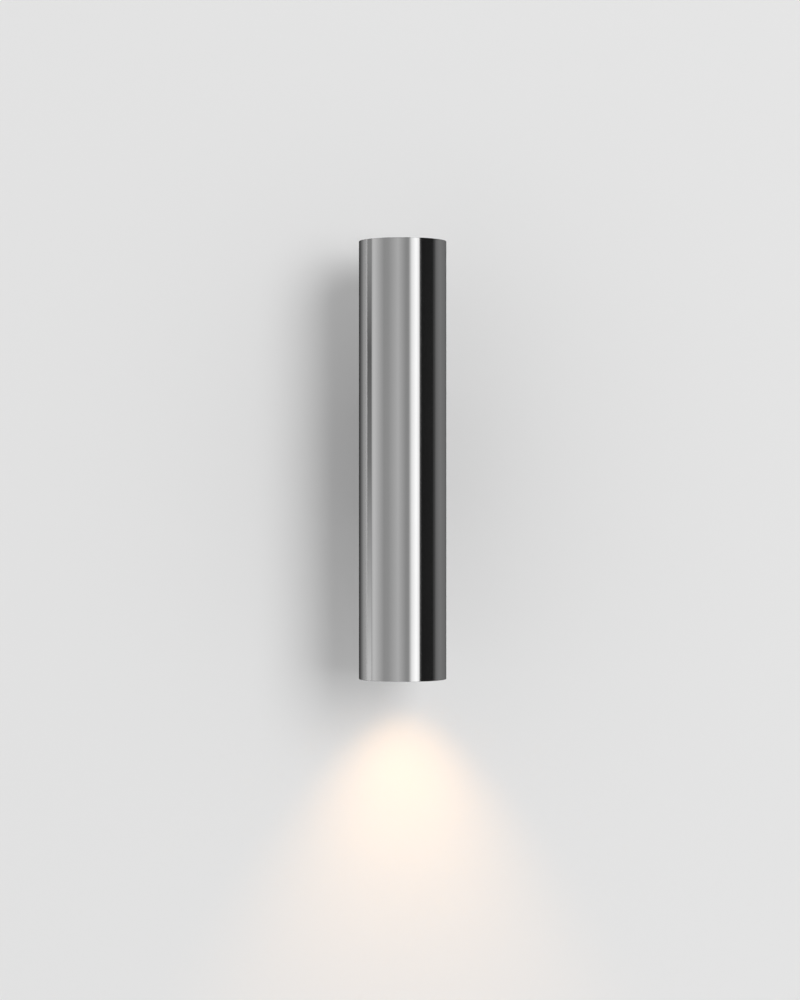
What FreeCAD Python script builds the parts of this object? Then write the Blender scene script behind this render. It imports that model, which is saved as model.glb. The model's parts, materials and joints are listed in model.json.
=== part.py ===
import FreeCAD, Part
import math
import os

# Tube wall light: a closed steel tube that stands off the wall and shines down.
#
# The tube hangs on a small canopy behind it. Two cross rods in the canopy hook into slots in a
# wall bracket, and a set screw in the canopy's side stops it being lifted off. Inside the tube a
# backing bar clamps tube and canopy together and carries a folded chassis, with the terminal
# block and cord grip behind the canopy and the lampholder lower down. A twist-lock reflector
# lamp faces the open end, behind a glass disc that a stepped black ring holds up.
#
# The origin is on the wall, at the middle of the bracket. +Y points into the wall, +Z is up, and
# the tube's axis is parallel to Z on the -Y side. All sizes are in millimetres.

V = FreeCAD.Vector
X = V(1, 0, 0)
Y = V(0, 1, 0)
Z = V(0, 0, 1)

# ---------------------------------------------------------------------------- driving sizes
# Fits
SLIP = 0.05  # radial play of a pressed, glued or screwed part
RUNNING = 0.1  # radial play of a thread that turns
GAP = 0.3  # space between faces that pass each other

# Tube, whose diameter follows from the lamp and the rings round it
TUBE_LENGTH = 300.0
TUBE_WALL = 1.5
TUBE_RIM_CHAMFER = 0.3
STANDOFF = 30.0  # wall to the back of the tube

# Top cap
CAP_RECESS = 0.5
CAP_THICKNESS = 3.0
CAP_SKIRT = 9.0
CAP_SKIRT_WALL = 4.0
CAP_EDGE_CHAMFER = 0.4
SEAL_RING_SECTION = 2.0
SEAL_RING_GROOVE = 2.4

# Wall bracket
BRACKET_SHEET = 2.0
BRACKET_ROOM = 3.5  # between each side of the bracket and the canopy's wall
BRACKET_HEIGHT = 84.0
BRACKET_DEPTH = 24.0
BRACKET_BEND = 3.0
BRACKET_CORNER = 3.0
WALL_SCREW_SPACING = 68.0
WALL_SCREW_HOLE = 5.0
EMBOSS_DIAMETER = 26.0
EMBOSS_RISE = 2.2

# Supply cable's way in
CABLE_BORE = 8.0
GROMMET_NECK = 14.0
GROMMET_FLANGE = 17.0
GROMMET_LIP = 1.6
TUBE_GROMMET_NECK = 12.0
TUBE_GROMMET_FLANGE = 16.0
TUBE_GROMMET_LIP = 1.5

# Hooks
ROD_DIAMETER = 4.0
ROD_SPACING = 44.0
ROD_FROM_WALL = 14.0
ROD_SOCKET = 1.0
HOOK_LIFT = 6.0
HOOK_CLEARANCE = 0.2

# Canopy
CANOPY_WIDTH = 46.0
CANOPY_HEIGHT = 104.0
CANOPY_WALL = 2.5
CANOPY_CORNER = 8.0
WALL_SEAL_THICKNESS = 1.0
WALL_SEAL_WIDTH = 2.0
WALL_SEAL_INSET = 0.3
SADDLE_GASKET_THICKNESS = 0.8
SADDLE_GASKET_INSET = 0.4
SADDLE_SCREW_SPACING = 72.0
SADDLE_SCREW_LENGTH = 10.0
SADDLE_BOSS_DIAMETER = 13.0
SADDLE_BOSS_PROUD = 0.3

# Lock screw
LOCK_PAD_DIAMETER = 3.4
LOCK_PAD_THICKNESS = 1.2
LOCK_BOSS_DIAMETER = 9.0
LOCK_BOSS_CLEARANCE = 0.8
LOCK_SCREW_SUNK = 0.4
LOCK_SOCKET = 2.0
LOCK_SOCKET_DEPTH = 2.0

# Backing bar
BAR_WIDTH = 24.0
BAR_LENGTH = 100.0
BAR_DEPTH = 5.5
BAR_CABLE_HOLE = 18.0

# Chassis
CHASSIS_SHEET = 1.5
CHASSIS_WIDTH = 24.0
CHASSIS_TOP = 50.0
CHASSIS_BEND = 2.0
CHASSIS_CABLE_HOLE = 12.0
CHASSIS_SCREW_Z = 45.0
EARTH_SCREW_Z = -24.0
EARTH_TAG_DIAMETER = 7.0
EARTH_TAG_NECK = 3.0
EARTH_BARREL_LENGTH = 4.0
CHASSIS_SCREW_LENGTH = 6.0
SHELF_WIDTH = 36.0
SHELF_WIRE_HOLE = 18.0
SHELF_CORNER = 5.0

# Cord grip
GRIP_Z = 13.0
GRIP_HEIGHT = 8.0
GRIP_LUG = 2.4
GRIP_ARCH_WALL = 1.6
GRIP_SCREW_SPACING = 18.0
GRIP_SCREW_LENGTH = 4.5

# Terminal block
BLOCK_Z = 30.0
BLOCK_HEIGHT = 16.0
BLOCK_DEPTH = 14.0
WAY_COUNT = 3
WAY_PITCH = 10.0
WAY_WALL = 2.0
INSERT_DIAMETER = 5.2
INSERT_BORE = 3.0
INSERT_SHORT = 1.0  # how far an insert stops short of each face of the block
TERMINAL_SCREW_OFFSET = 4.0
TERMINAL_SCREW_SUNK = 2.0
BLOCK_SCREW_LENGTH = 16.0

# Wires
WIRE_DIAMETER = 2.4
CORE_DIAMETER = 1.6
CORE_LENGTH = 8.0
WIRE_RISE = 9.0  # from the top of the block to the top of the loop
WIRE_BEND = 7.0
HOLDER_WIRE_DEPTH = 4.5

# Metric screws: thread, clearance hole, head diameter and head height
M3_THREAD = 3.0
M3_CLEAR = 3.4
M3_HEAD = 5.4
M3_HEAD_HEIGHT = 2.0
M3_NUT = 5.5
M3_NUT_HEIGHT = 2.4
M4_THREAD = 4.0
M4_CLEAR = 4.5
M4_HEAD = 7.6
M4_HEAD_HEIGHT = 2.6
M4_WASHER = 9.0
M4_WASHER_THICKNESS = 0.8
RECESS_SHARE = 0.55  # cross recess: width and depth as shares of the head
RECESS_SLOT = 0.8

# Mouth of the tube
COLLAR_WALL = 1.5
COLLAR_LIP = 1.5
COLLAR_LIP_THICKNESS = 2.0
RING_RECESS = 1.0
RING_FLANGE = 1.6
RING_LENGTH = 20.0
RING_THREAD_RELIEF = 0.4
RING_TOP_WALL = 3.5
RING_STEPS = 8
RING_STEP_IN = 0.3
RING_PITCH = 1.5
RING_TURNS = 4  # of thread
RING_SLOT_WIDTH = 3.0
RING_SLOT_DEPTH = 0.9
RING_SLOTS = 3
GLASS_THICKNESS = 3.0
GLASS_EDGE_CHAMFER = 0.5
GLASS_PLAY = 0.4
GASKET_THICKNESS = 1.0

# Lamp, from its face upwards
LAMP_DIAMETER = 50.0
LAMP_ROOM = 0.5  # between the lamp's rim and the collar's lip
LAMP_TO_GLASS = 1.5
LAMP_RIM = 4.0
LAMP_SHELL_HEIGHT = 30.0
LAMP_SHELL_WALL = 1.4
LAMP_WAIST_DIAMETER = 26.0
LAMP_BULGE = 3.1  # how far the flank stands out beyond a straight cone
LAMP_HEIGHT = 46.7  # face to the top of the base
LAMP_BASE_DIAMETER = 17.6
LAMP_BASE_WALL = 2.6  # end wall, which holds the pins
LAMP_BASE_SIDE = 1.6
LAMP_BASE_SPIGOT_WALL = 1.3
LAMP_BASE_SPIGOT = 2.0
LAMP_SOFT_EDGE = 0.6
LENS_SUNK = 0.3
LENS_THICKNESS = 1.6
LENS_CONE_DIAMETER = 40.0
LENS_NECK_DIAMETER = 13.0
LENS_HEIGHT = 12.0
LENS_BULGE = 2.0
LENS_POCKET_DEPTH = 2.0
LED_DIAMETER = 8.0
LED_THICKNESS = 0.8
LED_GAP = 0.3
BOARD_THICKNESS = 1.6
DRIVER_WIDTH = 13.0
DRIVER_THICKNESS = 1.2
DRIVER_TOP_GAP = 3.1  # from the driver board's top to the base's end wall
DRIVER_PART_RISE = 4.0  # from the light source's board to the capacitor and the coil
CAPACITOR_DIAMETER = 5.0
CAPACITOR_HEIGHT = 8.0
COIL_SIDE = 6.0
COIL_DEPTH = 4.0
PIN_SPACING = 10.0
PIN_NECK = 3.2
PIN_HEAD = 5.0
PIN_HEAD_HEIGHT = 3.0
PIN_ROOT = 2.0

# Lampholder
TWIST = 30.0  # degrees between the locked lamp and the lamp that drops out
HOLDER_LENGTH = 33.0
HOLDER_WIDTH = 23.0
HOLDER_CORNER = 5.0
HOLDER_FACE = 4.0
HOLDER_BODY = 13.0
HOLDER_CAVITY = 16.5
HOLDER_CAVITY_DEPTH = 5.8
HOLDER_SCREW_SPACING = 25.0
HOLDER_PLAY = 0.3
CONTACT_SHEET = 0.4
CONTACT_SPAN = 50.0  # degrees of arc beside each pin
CONTACT_HEIGHT = 4.6

# ---------------------------------------------------------------------------- places
TUBE_DIAMETER = LAMP_DIAMETER + 2 * (LAMP_ROOM + COLLAR_LIP + COLLAR_WALL + TUBE_WALL)
TUBE_RADIUS = TUBE_DIAMETER / 2
TUBE_BORE = TUBE_RADIUS - TUBE_WALL
AXIS_Y = -(STANDOFF + TUBE_RADIUS)
AXIS = V(0, AXIS_Y, 0)
TOP_Z = TUBE_LENGTH / 2
RIM_Z = -TUBE_LENGTH / 2

SADDLE_RADIUS = TUBE_RADIUS + SADDLE_GASKET_THICKNESS
WEB_RADIUS = SADDLE_RADIUS + CANOPY_WALL
BOSS_FACE_Y = AXIS_Y + WEB_RADIUS + SADDLE_BOSS_PROUD
CANOPY_INSIDE = CANOPY_WIDTH / 2 - CANOPY_WALL
BRACKET_SIDE = CANOPY_INSIDE - BRACKET_ROOM

BAR_FACE_Y = AXIS_Y + TUBE_BORE - BAR_DEPTH
CHASSIS_FACE_Y = BAR_FACE_Y - CHASSIS_SHEET
WAY_Y = CHASSIS_FACE_Y - BLOCK_DEPTH / 2
BLOCK_TOP = BLOCK_Z + BLOCK_HEIGHT / 2

RING_BOTTOM = RIM_Z + RING_RECESS
RING_TOP = RING_BOTTOM + RING_LENGTH
RING_THREAD_LENGTH = RING_TURNS * RING_PITCH
GLASS_TOP = RING_TOP + GLASS_THICKNESS
LIP_BOTTOM = GLASS_TOP + GASKET_THICKNESS
LIP_TOP = LIP_BOTTOM + COLLAR_LIP_THICKNESS
COLLAR_BORE = TUBE_BORE - COLLAR_WALL
COLLAR_BOTTOM = RING_BOTTOM + RING_FLANGE + GAP

LAMP_FACE = GLASS_TOP + LAMP_TO_GLASS
LAMP_TOP = LAMP_FACE + LAMP_HEIGHT
HOLDER_BOTTOM = LAMP_TOP + HOLDER_PLAY
HOLDER_JOINT = HOLDER_BOTTOM + HOLDER_FACE
HOLDER_TOP = HOLDER_JOINT + HOLDER_BODY
SHELF_TOP = HOLDER_TOP + CHASSIS_SHEET
PIN_HEAD_BOTTOM = HOLDER_JOINT + HOLDER_PLAY
LED_FACE = LAMP_FACE + LENS_SUNK + LENS_HEIGHT + LED_GAP
BOARD_FACE = LED_FACE + LED_THICKNESS
BOARD_BACK = BOARD_FACE + BOARD_THICKNESS
DRIVER_TOP = LAMP_TOP - LAMP_BASE_WALL - DRIVER_TOP_GAP

LOCK_PAD_X = BRACKET_SIDE + SLIP
LOCK_SCREW_X = LOCK_PAD_X + LOCK_PAD_THICKNESS
LOCK_SCREW_END = CANOPY_WIDTH / 2 - LOCK_SCREW_SUNK


# ---------------------------------------------------------------------------- shape helpers
def block(x0, x1, y0, y1, z0, z1):
    """Box between two corners."""
    return Part.makeBox(x1 - x0, y1 - y0, z1 - z0, V(x0, y0, z0))


def rod(radius, start, direction, length):
    """Cylinder from a start point."""
    return Part.makeCylinder(radius, length, start, direction)


def drilled(shape, radius, start, direction, length):
    """The shape with one round hole."""
    return shape.cut(rod(radius, start, direction, length))


def turned(edges):
    """Solid of revolution about the tube's axis, from the edges of a closed half section."""
    face = Part.Face(Part.Wire(edges))
    return face.revolve(AXIS, Z, 360)


def at(radius, z):
    """Point of a half section, at a radius from the tube's axis."""
    return V(radius, AXIS_Y, z)


def lines(points):
    """Straight edges through the points of an open outline."""
    return [Part.makeLine(a, b) for a, b in zip(points, points[1:])]


def turned_outline(points):
    """Solid of revolution about the tube's axis, from (radius, z) corners."""
    corners = [at(radius, z) for radius, z in points]
    return turned(lines(corners + corners[:1]))


def hollow_disc(outer, inner, z0, z1):
    """Flat ring or tube about the tube's axis."""
    return rod(outer, AXIS + Z * z0, Z, z1 - z0).cut(rod(inner, AXIS + Z * z0, Z, z1 - z0))


def rounded_plate(width, height, corner, y0, y1):
    """Upright plate, centred on the Y axis, with rounded corners."""
    plate = block(-width / 2, width / 2, y0, y1, -height / 2, height / 2)
    upright = [edge for edge in plate.Edges if edge.tangentAt(edge.FirstParameter).cross(Y).Length < 0.1]
    return plate.makeFillet(corner, upright)


def along(shape, direction):
    """The edges of a shape that run straight along a direction."""
    straight = [edge for edge in shape.Edges if edge.Curve.TypeId == "Part::GeomLine"]
    return [edge for edge in straight if edge.tangentAt(edge.FirstParameter).cross(direction).Length < 0.01]


def pan_screw(seat, direction, length, thread, head, head_height):
    """Cross-head screw. The seat is the point under the head, and direction runs to the tip."""
    body = rod(thread / 2, seat, direction, length)
    top = rod(head / 2, seat - direction * head_height, direction, head_height)
    circles = [edge for edge in top.Edges if edge.Closed]
    rim = [circle for circle in circles if (circle.CenterOfMass - seat).Length > head_height / 2]
    screw = top.makeFillet(head_height / 3, rim).fuse(body)
    depth = head_height * RECESS_SHARE
    arm = head * RECESS_SHARE
    cross = block(-arm / 2, arm / 2, -RECESS_SLOT / 2, RECESS_SLOT / 2, 0, depth)
    cross = cross.fuse(block(-RECESS_SLOT / 2, RECESS_SLOT / 2, -arm / 2, arm / 2, 0, depth))
    turn = FreeCAD.Rotation(Z, direction)
    cross.Placement = FreeCAD.Placement(seat - direction * head_height, turn)
    return screw.cut(cross).removeSplitter()


def m3_screw(seat, direction, length):
    """Cross-head M3 screw."""
    return pan_screw(seat, direction, length, M3_THREAD, M3_HEAD, M3_HEAD_HEIGHT)


def m4_screw(seat, direction, length):
    """Cross-head M4 screw."""
    return pan_screw(seat, direction, length, M4_THREAD, M4_HEAD, M4_HEAD_HEIGHT)


def washer(centre, direction, outer, bore, thickness):
    """Flat washer, from its face at the centre point."""
    return rod(outer / 2, centre, direction, thickness).cut(rod(bore / 2, centre, direction, thickness))


def hexagon(centre, direction, across_flats, height):
    """Six-sided bar, for a nut or a socket."""
    corner = across_flats / math.sqrt(3)
    angles = [math.radians(60 * side) for side in range(7)]
    points = [V(corner * math.cos(angle), corner * math.sin(angle), 0) for angle in angles]
    bar = Part.Face(Part.makePolygon(points)).extrude(Z * height)
    bar.Placement = FreeCAD.Placement(centre, FreeCAD.Rotation(Z, direction))
    return bar


def wire_along(points, diameter, bend):
    """Round wire along straight runs that tangent arcs join."""
    edges = []
    start = points[0]
    for before, corner, after in zip(points, points[1:], points[2:]):
        into = (corner - before).normalize()
        out = (after - corner).normalize()
        half_turn = into.getAngle(out) / 2
        shorter_run = min((corner - before).Length, (after - corner).Length)
        radius = min(bend, 0.49 * shorter_run / math.tan(half_turn))
        setback = radius * math.tan(half_turn)
        inward = (out - into).normalize()
        centre = corner + inward * (radius / math.cos(half_turn))
        bend_start = corner - into * setback
        bend_end = corner + out * setback
        edges.append(Part.makeLine(start, bend_start))
        edges.append(Part.Arc(bend_start, centre - inward * radius, bend_end).toShape())
        start = bend_end
    edges.append(Part.makeLine(start, points[-1]))
    section = Part.Wire(Part.makeCircle(diameter / 2, points[0], points[1] - points[0]))
    return Part.Wire(edges).makePipeShell([section], True, False)


def group(shapes):
    """Separate solids that share one node."""
    return Part.makeCompound(shapes)


# ---------------------------------------------------------------------------- wall bracket
def hook_slot(side):
    """L-shaped cut for one cross rod in both flanges: in from the front, then down to the seat."""
    seat_z = side * ROD_SPACING / 2 + HOOK_CLEARANCE - SLIP
    half = ROD_DIAMETER / 2 + HOOK_CLEARANCE
    entry_z = seat_z + HOOK_LIFT
    reach = 2 * BRACKET_SIDE
    middle = -ROD_FROM_WALL
    slot = rod(half, V(-reach, middle, seat_z), X, 2 * reach)
    upright = block(-reach, reach, middle - half, middle + half, seat_z, entry_z)
    corner = rod(half, V(-reach, middle, entry_z), X, 2 * reach)
    mouth = block(-reach, reach, -2 * BRACKET_DEPTH, middle, entry_z - half, entry_z + half)
    return slot.multiFuse([upright, corner, mouth])


def wall_bracket():
    """Folded channel that is screwed to the wall, with a raised seat for the cable's grommet."""
    half = BRACKET_HEIGHT / 2
    outside = block(-BRACKET_SIDE, BRACKET_SIDE, -BRACKET_DEPTH, 0, -half, half)
    back_edges = [edge for edge in along(outside, Z) if abs(edge.CenterOfMass.y) < 0.1]
    outside = outside.makeFillet(BRACKET_BEND, back_edges)
    inner_side = BRACKET_SIDE - BRACKET_SHEET
    inside = block(-inner_side, inner_side, -2 * BRACKET_DEPTH, -BRACKET_SHEET, -half, half)
    back_edges = [edge for edge in along(inside, Z) if edge.CenterOfMass.y > -BRACKET_DEPTH]
    inside = inside.makeFillet(BRACKET_BEND - BRACKET_SHEET, back_edges)
    bracket = outside.cut(inside)
    front_corners = [edge for edge in along(bracket, X) if edge.CenterOfMass.y < -BRACKET_DEPTH + 0.1]
    bracket = bracket.makeFillet(BRACKET_CORNER, front_corners)
    front = EMBOSS_DIAMETER / 2
    back = front - BRACKET_SHEET
    raised = Part.makeCone(front, front - EMBOSS_RISE, EMBOSS_RISE, -Y * BRACKET_SHEET, -Y)
    pocket = Part.makeCone(back, back - EMBOSS_RISE, EMBOSS_RISE, V(), -Y)
    bracket = bracket.fuse(raised).cut(pocket)
    bracket = drilled(bracket, GROMMET_NECK / 2, V(), -Y, BRACKET_DEPTH)
    for side in (-1, 1):
        wall_screw = Z * (side * WALL_SCREW_SPACING / 2)
        bracket = drilled(bracket, WALL_SCREW_HOLE / 2, wall_screw, -Y, BRACKET_DEPTH)
        bracket = bracket.cut(hook_slot(side))
    return drilled(bracket, M4_THREAD / 2 + SLIP, bracket_earth_seat(), Y, BRACKET_SHEET)


def bracket_earth_seat():
    """Middle of the bracket's earth screw hole, on the bracket's front face."""
    return V(0, -BRACKET_SHEET, -(EMBOSS_DIAMETER + WALL_SCREW_SPACING - WALL_SCREW_HOLE) / 4)


def bracket_earth_washer():
    """Cup washer that traps the supply's earth conductor."""
    return washer(bracket_earth_seat(), -Y, M4_WASHER, M4_CLEAR, M4_WASHER_THICKNESS)


def bracket_earth_screw():
    """Earth screw of the bracket, its tip flush with the wall side."""
    seat = bracket_earth_seat() - Y * M4_WASHER_THICKNESS
    return m4_screw(seat, Y, BRACKET_SHEET + M4_WASHER_THICKNESS)


def cable_grommet():
    """Rubber ring in the bracket's raised seat, for the cable that comes out of the wall."""
    back = -EMBOSS_RISE + GROMMET_LIP
    front = -EMBOSS_RISE - BRACKET_SHEET - GROMMET_LIP
    ring = rod(GROMMET_NECK / 2, Y * back, -Y, back - front)
    ring = ring.fuse(rod(GROMMET_FLANGE / 2, Y * back, -Y, GROMMET_LIP))
    ring = ring.fuse(rod(GROMMET_FLANGE / 2, Y * front, Y, GROMMET_LIP))
    return drilled(ring.removeSplitter(), CABLE_BORE / 2, V(), -Y, BRACKET_DEPTH)


# ---------------------------------------------------------------------------- canopy
def hook_rods():
    """Two cross rods, their ends pressed into blind sockets in the canopy's sides."""
    half = CANOPY_INSIDE + ROD_SOCKET
    return group([
        rod(ROD_DIAMETER / 2, V(-half, -ROD_FROM_WALL, side * ROD_SPACING / 2), X, 2 * half)
        for side in (-1, 1)
    ])


def canopy():
    """Cast box between wall and tube: open at the wall, with a curved web that cradles the tube."""
    back = -WALL_SEAL_THICKNESS
    shell = rounded_plate(CANOPY_WIDTH, CANOPY_HEIGHT, CANOPY_CORNER, AXIS_Y, back)
    shell = shell.cut(rod(SADDLE_RADIUS, AXIS - Z * CANOPY_HEIGHT, Z, 2 * CANOPY_HEIGHT))
    inner_width = CANOPY_WIDTH - 2 * CANOPY_WALL
    inner_height = CANOPY_HEIGHT - 2 * CANOPY_WALL
    room = rounded_plate(inner_width, inner_height, CANOPY_CORNER - CANOPY_WALL, AXIS_Y, 0)
    room = room.cut(rod(WEB_RADIUS, AXIS - Z * CANOPY_HEIGHT, Z, 2 * CANOPY_HEIGHT))
    shell = shell.cut(room)
    web_depth = WEB_RADIUS - TUBE_BORE
    for side in (-1, 1):
        face = V(0, BOSS_FACE_Y, side * SADDLE_SCREW_SPACING / 2)
        boss = rod(SADDLE_BOSS_DIAMETER / 2, face, -Y, CANOPY_WALL)
        boss = boss.cut(rod(SADDLE_RADIUS, AXIS - Z * CANOPY_HEIGHT, Z, 2 * CANOPY_HEIGHT))
        shell = drilled(shell.fuse(boss), M4_CLEAR / 2, face, -Y, 2 * web_depth)
        socket = V(-CANOPY_INSIDE - ROD_SOCKET, -ROD_FROM_WALL, side * ROD_SPACING / 2)
        shell = drilled(shell, ROD_DIAMETER / 2, socket, X, 2 * (CANOPY_INSIDE + ROD_SOCKET))
    shell = drilled(shell, TUBE_GROMMET_FLANGE / 2 + GAP, Y * BOSS_FACE_Y, -Y, 2 * web_depth)
    pad_x = BRACKET_SIDE + LOCK_BOSS_CLEARANCE
    boss_length = CANOPY_INSIDE + CANOPY_WALL / 2 - pad_x
    lock_boss = rod(LOCK_BOSS_DIAMETER / 2, V(pad_x, -ROD_FROM_WALL, 0), X, boss_length)
    shell = shell.fuse(lock_boss)
    return drilled(shell, M4_THREAD / 2 + SLIP, V(pad_x, -ROD_FROM_WALL, 0), X, CANOPY_WIDTH)


def wall_seal():
    """Foam strip round the canopy's back edge."""
    width = CANOPY_WIDTH - 2 * WALL_SEAL_INSET
    height = CANOPY_HEIGHT - 2 * WALL_SEAL_INSET
    corner = CANOPY_CORNER - WALL_SEAL_INSET
    strip = rounded_plate(width, height, corner, -WALL_SEAL_THICKNESS, 0)
    width = width - 2 * WALL_SEAL_WIDTH
    height = height - 2 * WALL_SEAL_WIDTH
    corner = corner - WALL_SEAL_WIDTH
    return strip.cut(rounded_plate(width, height, corner, -WALL_SEAL_THICKNESS, 0))


def saddle_gasket():
    """Thin rubber sheet between the canopy's web and the tube."""
    width = CANOPY_WIDTH - 2 * SADDLE_GASKET_INSET
    height = CANOPY_HEIGHT - 2 * SADDLE_GASKET_INSET
    sheet = rounded_plate(width, height, CANOPY_CORNER - SADDLE_GASKET_INSET, AXIS_Y, 0)
    sheet = sheet.common(hollow_disc(SADDLE_RADIUS, TUBE_RADIUS, -CANOPY_HEIGHT, CANOPY_HEIGHT))
    sheet = drilled(sheet, TUBE_GROMMET_FLANGE / 2 + GAP, V(), -Y, -AXIS_Y)
    for side in (-1, 1):
        sheet = drilled(sheet, M4_CLEAR / 2, Z * (side * SADDLE_SCREW_SPACING / 2), -Y, -AXIS_Y)
    return sheet


def saddle_washers():
    """Washers under the heads of the screws that hold tube and canopy together."""
    seats = [V(0, BOSS_FACE_Y, side * SADDLE_SCREW_SPACING / 2) for side in (-1, 1)]
    return group([washer(seat, Y, M4_WASHER, M4_CLEAR, M4_WASHER_THICKNESS) for seat in seats])


def saddle_screws():
    """Screws from inside the canopy, through the tube, into the backing bar."""
    seat_y = BOSS_FACE_Y + M4_WASHER_THICKNESS
    seats = [V(0, seat_y, side * SADDLE_SCREW_SPACING / 2) for side in (-1, 1)]
    return group([m4_screw(seat, -Y, SADDLE_SCREW_LENGTH) for seat in seats])


def lock_pad():
    """Nylon pad at the tip of the lock screw. It slides and doesn't turn."""
    return rod(LOCK_PAD_DIAMETER / 2, V(LOCK_PAD_X, -ROD_FROM_WALL, 0), X, LOCK_PAD_THICKNESS)


def lock_screw():
    """Hexagon-socket set screw in the canopy's side."""
    start = V(LOCK_SCREW_X, -ROD_FROM_WALL, 0)
    screw = rod(M4_THREAD / 2, start, X, LOCK_SCREW_END - LOCK_SCREW_X)
    socket = V(LOCK_SCREW_END - LOCK_SOCKET_DEPTH, -ROD_FROM_WALL, 0)
    return screw.cut(hexagon(socket, X, LOCK_SOCKET, LOCK_SOCKET_DEPTH))


# ---------------------------------------------------------------------------- tube and cap
def tube():
    """The tube, with a cable hole and two screw holes in its hidden back."""
    chamfer = TUBE_RIM_CHAMFER
    shell = turned_outline([
        (TUBE_BORE, RIM_Z), (TUBE_RADIUS - chamfer, RIM_Z), (TUBE_RADIUS, RIM_Z + chamfer),
        (TUBE_RADIUS, TOP_Z - chamfer), (TUBE_RADIUS - chamfer, TOP_Z), (TUBE_BORE, TOP_Z),
    ])
    shell = drilled(shell, TUBE_GROMMET_NECK / 2, V(), -Y, -AXIS_Y)
    for side in (-1, 1):
        shell = drilled(shell, M4_CLEAR / 2, Z * (side * SADDLE_SCREW_SPACING / 2), -Y, -AXIS_Y)
    return shell


def tube_grommet():
    """Rubber ring that lines the tube's cable hole. Its lips follow the curve of the tube."""
    flange = rod(TUBE_GROMMET_FLANGE / 2, V(), -Y, -AXIS_Y)
    neck = rod(TUBE_GROMMET_NECK / 2, V(), -Y, -AXIS_Y)
    reach = TUBE_GROMMET_FLANGE
    outer_lip = flange.common(hollow_disc(TUBE_RADIUS + TUBE_GROMMET_LIP, TUBE_RADIUS, -reach, reach))
    inner_lip = flange.common(hollow_disc(TUBE_BORE, TUBE_BORE - TUBE_GROMMET_LIP, -reach, reach))
    middle = neck.common(hollow_disc(TUBE_RADIUS, TUBE_BORE, -reach, reach))
    ring = middle.multiFuse([outer_lip, inner_lip]).removeSplitter()
    return drilled(ring, CABLE_BORE / 2, V(), -Y, -AXIS_Y)


def top_cap():
    """Plug that closes the tube, with a grooved skirt for its seal ring."""
    outer = TUBE_BORE - SLIP
    top = TOP_Z - CAP_RECESS
    bottom = top - CAP_THICKNESS - CAP_SKIRT
    groove_floor = TUBE_BORE - SEAL_RING_SECTION
    groove_middle = bottom + CAP_SKIRT / 2
    low = groove_middle - SEAL_RING_GROOVE / 2
    high = groove_middle + SEAL_RING_GROOVE / 2
    chamfer = CAP_EDGE_CHAMFER
    return turned_outline([
        (0, top), (outer - chamfer, top), (outer, top - chamfer), (outer, high), (groove_floor, high),
        (groove_floor, low), (outer, low), (outer, bottom), (outer - CAP_SKIRT_WALL, bottom),
        (outer - CAP_SKIRT_WALL, top - CAP_THICKNESS), (0, top - CAP_THICKNESS),
    ])


def cap_seal():
    """Round rubber ring between the cap's skirt and the tube."""
    middle_z = TOP_Z - CAP_RECESS - CAP_THICKNESS - CAP_SKIRT / 2
    section = SEAL_RING_SECTION / 2
    return Part.makeTorus(TUBE_BORE - section, section, AXIS + Z * middle_z)


# ---------------------------------------------------------------------------- chassis
def backing_bar():
    """Bar with a rounded back that draws the tube against the canopy and carries the chassis."""
    half = BAR_WIDTH / 2
    bar = block(-half, half, BAR_FACE_Y, AXIS_Y + TUBE_BORE, -BAR_LENGTH / 2, BAR_LENGTH / 2)
    bar = bar.common(rod(TUBE_BORE, AXIS - Z * BAR_LENGTH, Z, 2 * BAR_LENGTH))
    bar = drilled(bar, BAR_CABLE_HOLE / 2, V(), -Y, -AXIS_Y)
    for side in (-1, 1):
        bar = drilled(bar, M4_THREAD / 2 + SLIP, Z * (side * SADDLE_SCREW_SPACING / 2), -Y, -AXIS_Y)
    for z in (CHASSIS_SCREW_Z, EARTH_SCREW_Z):
        bar = drilled(bar, M3_THREAD / 2 + SLIP, V(0, BAR_FACE_Y, z), Y, BAR_DEPTH)
    for x, z in fixing_points():
        bar = drilled(bar, M3_THREAD / 2 + SLIP, V(x, BAR_FACE_Y, z), Y, BAR_DEPTH)
    return bar


def fixing_points():
    """Where the terminal block and the cord grip are screwed through the chassis into the bar."""
    block_points = [(side * WAY_PITCH / 2, BLOCK_Z) for side in (-1, 1)]
    grip_points = [(side * GRIP_SCREW_SPACING / 2, GRIP_Z) for side in (-1, 1)]
    return block_points + grip_points


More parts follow.
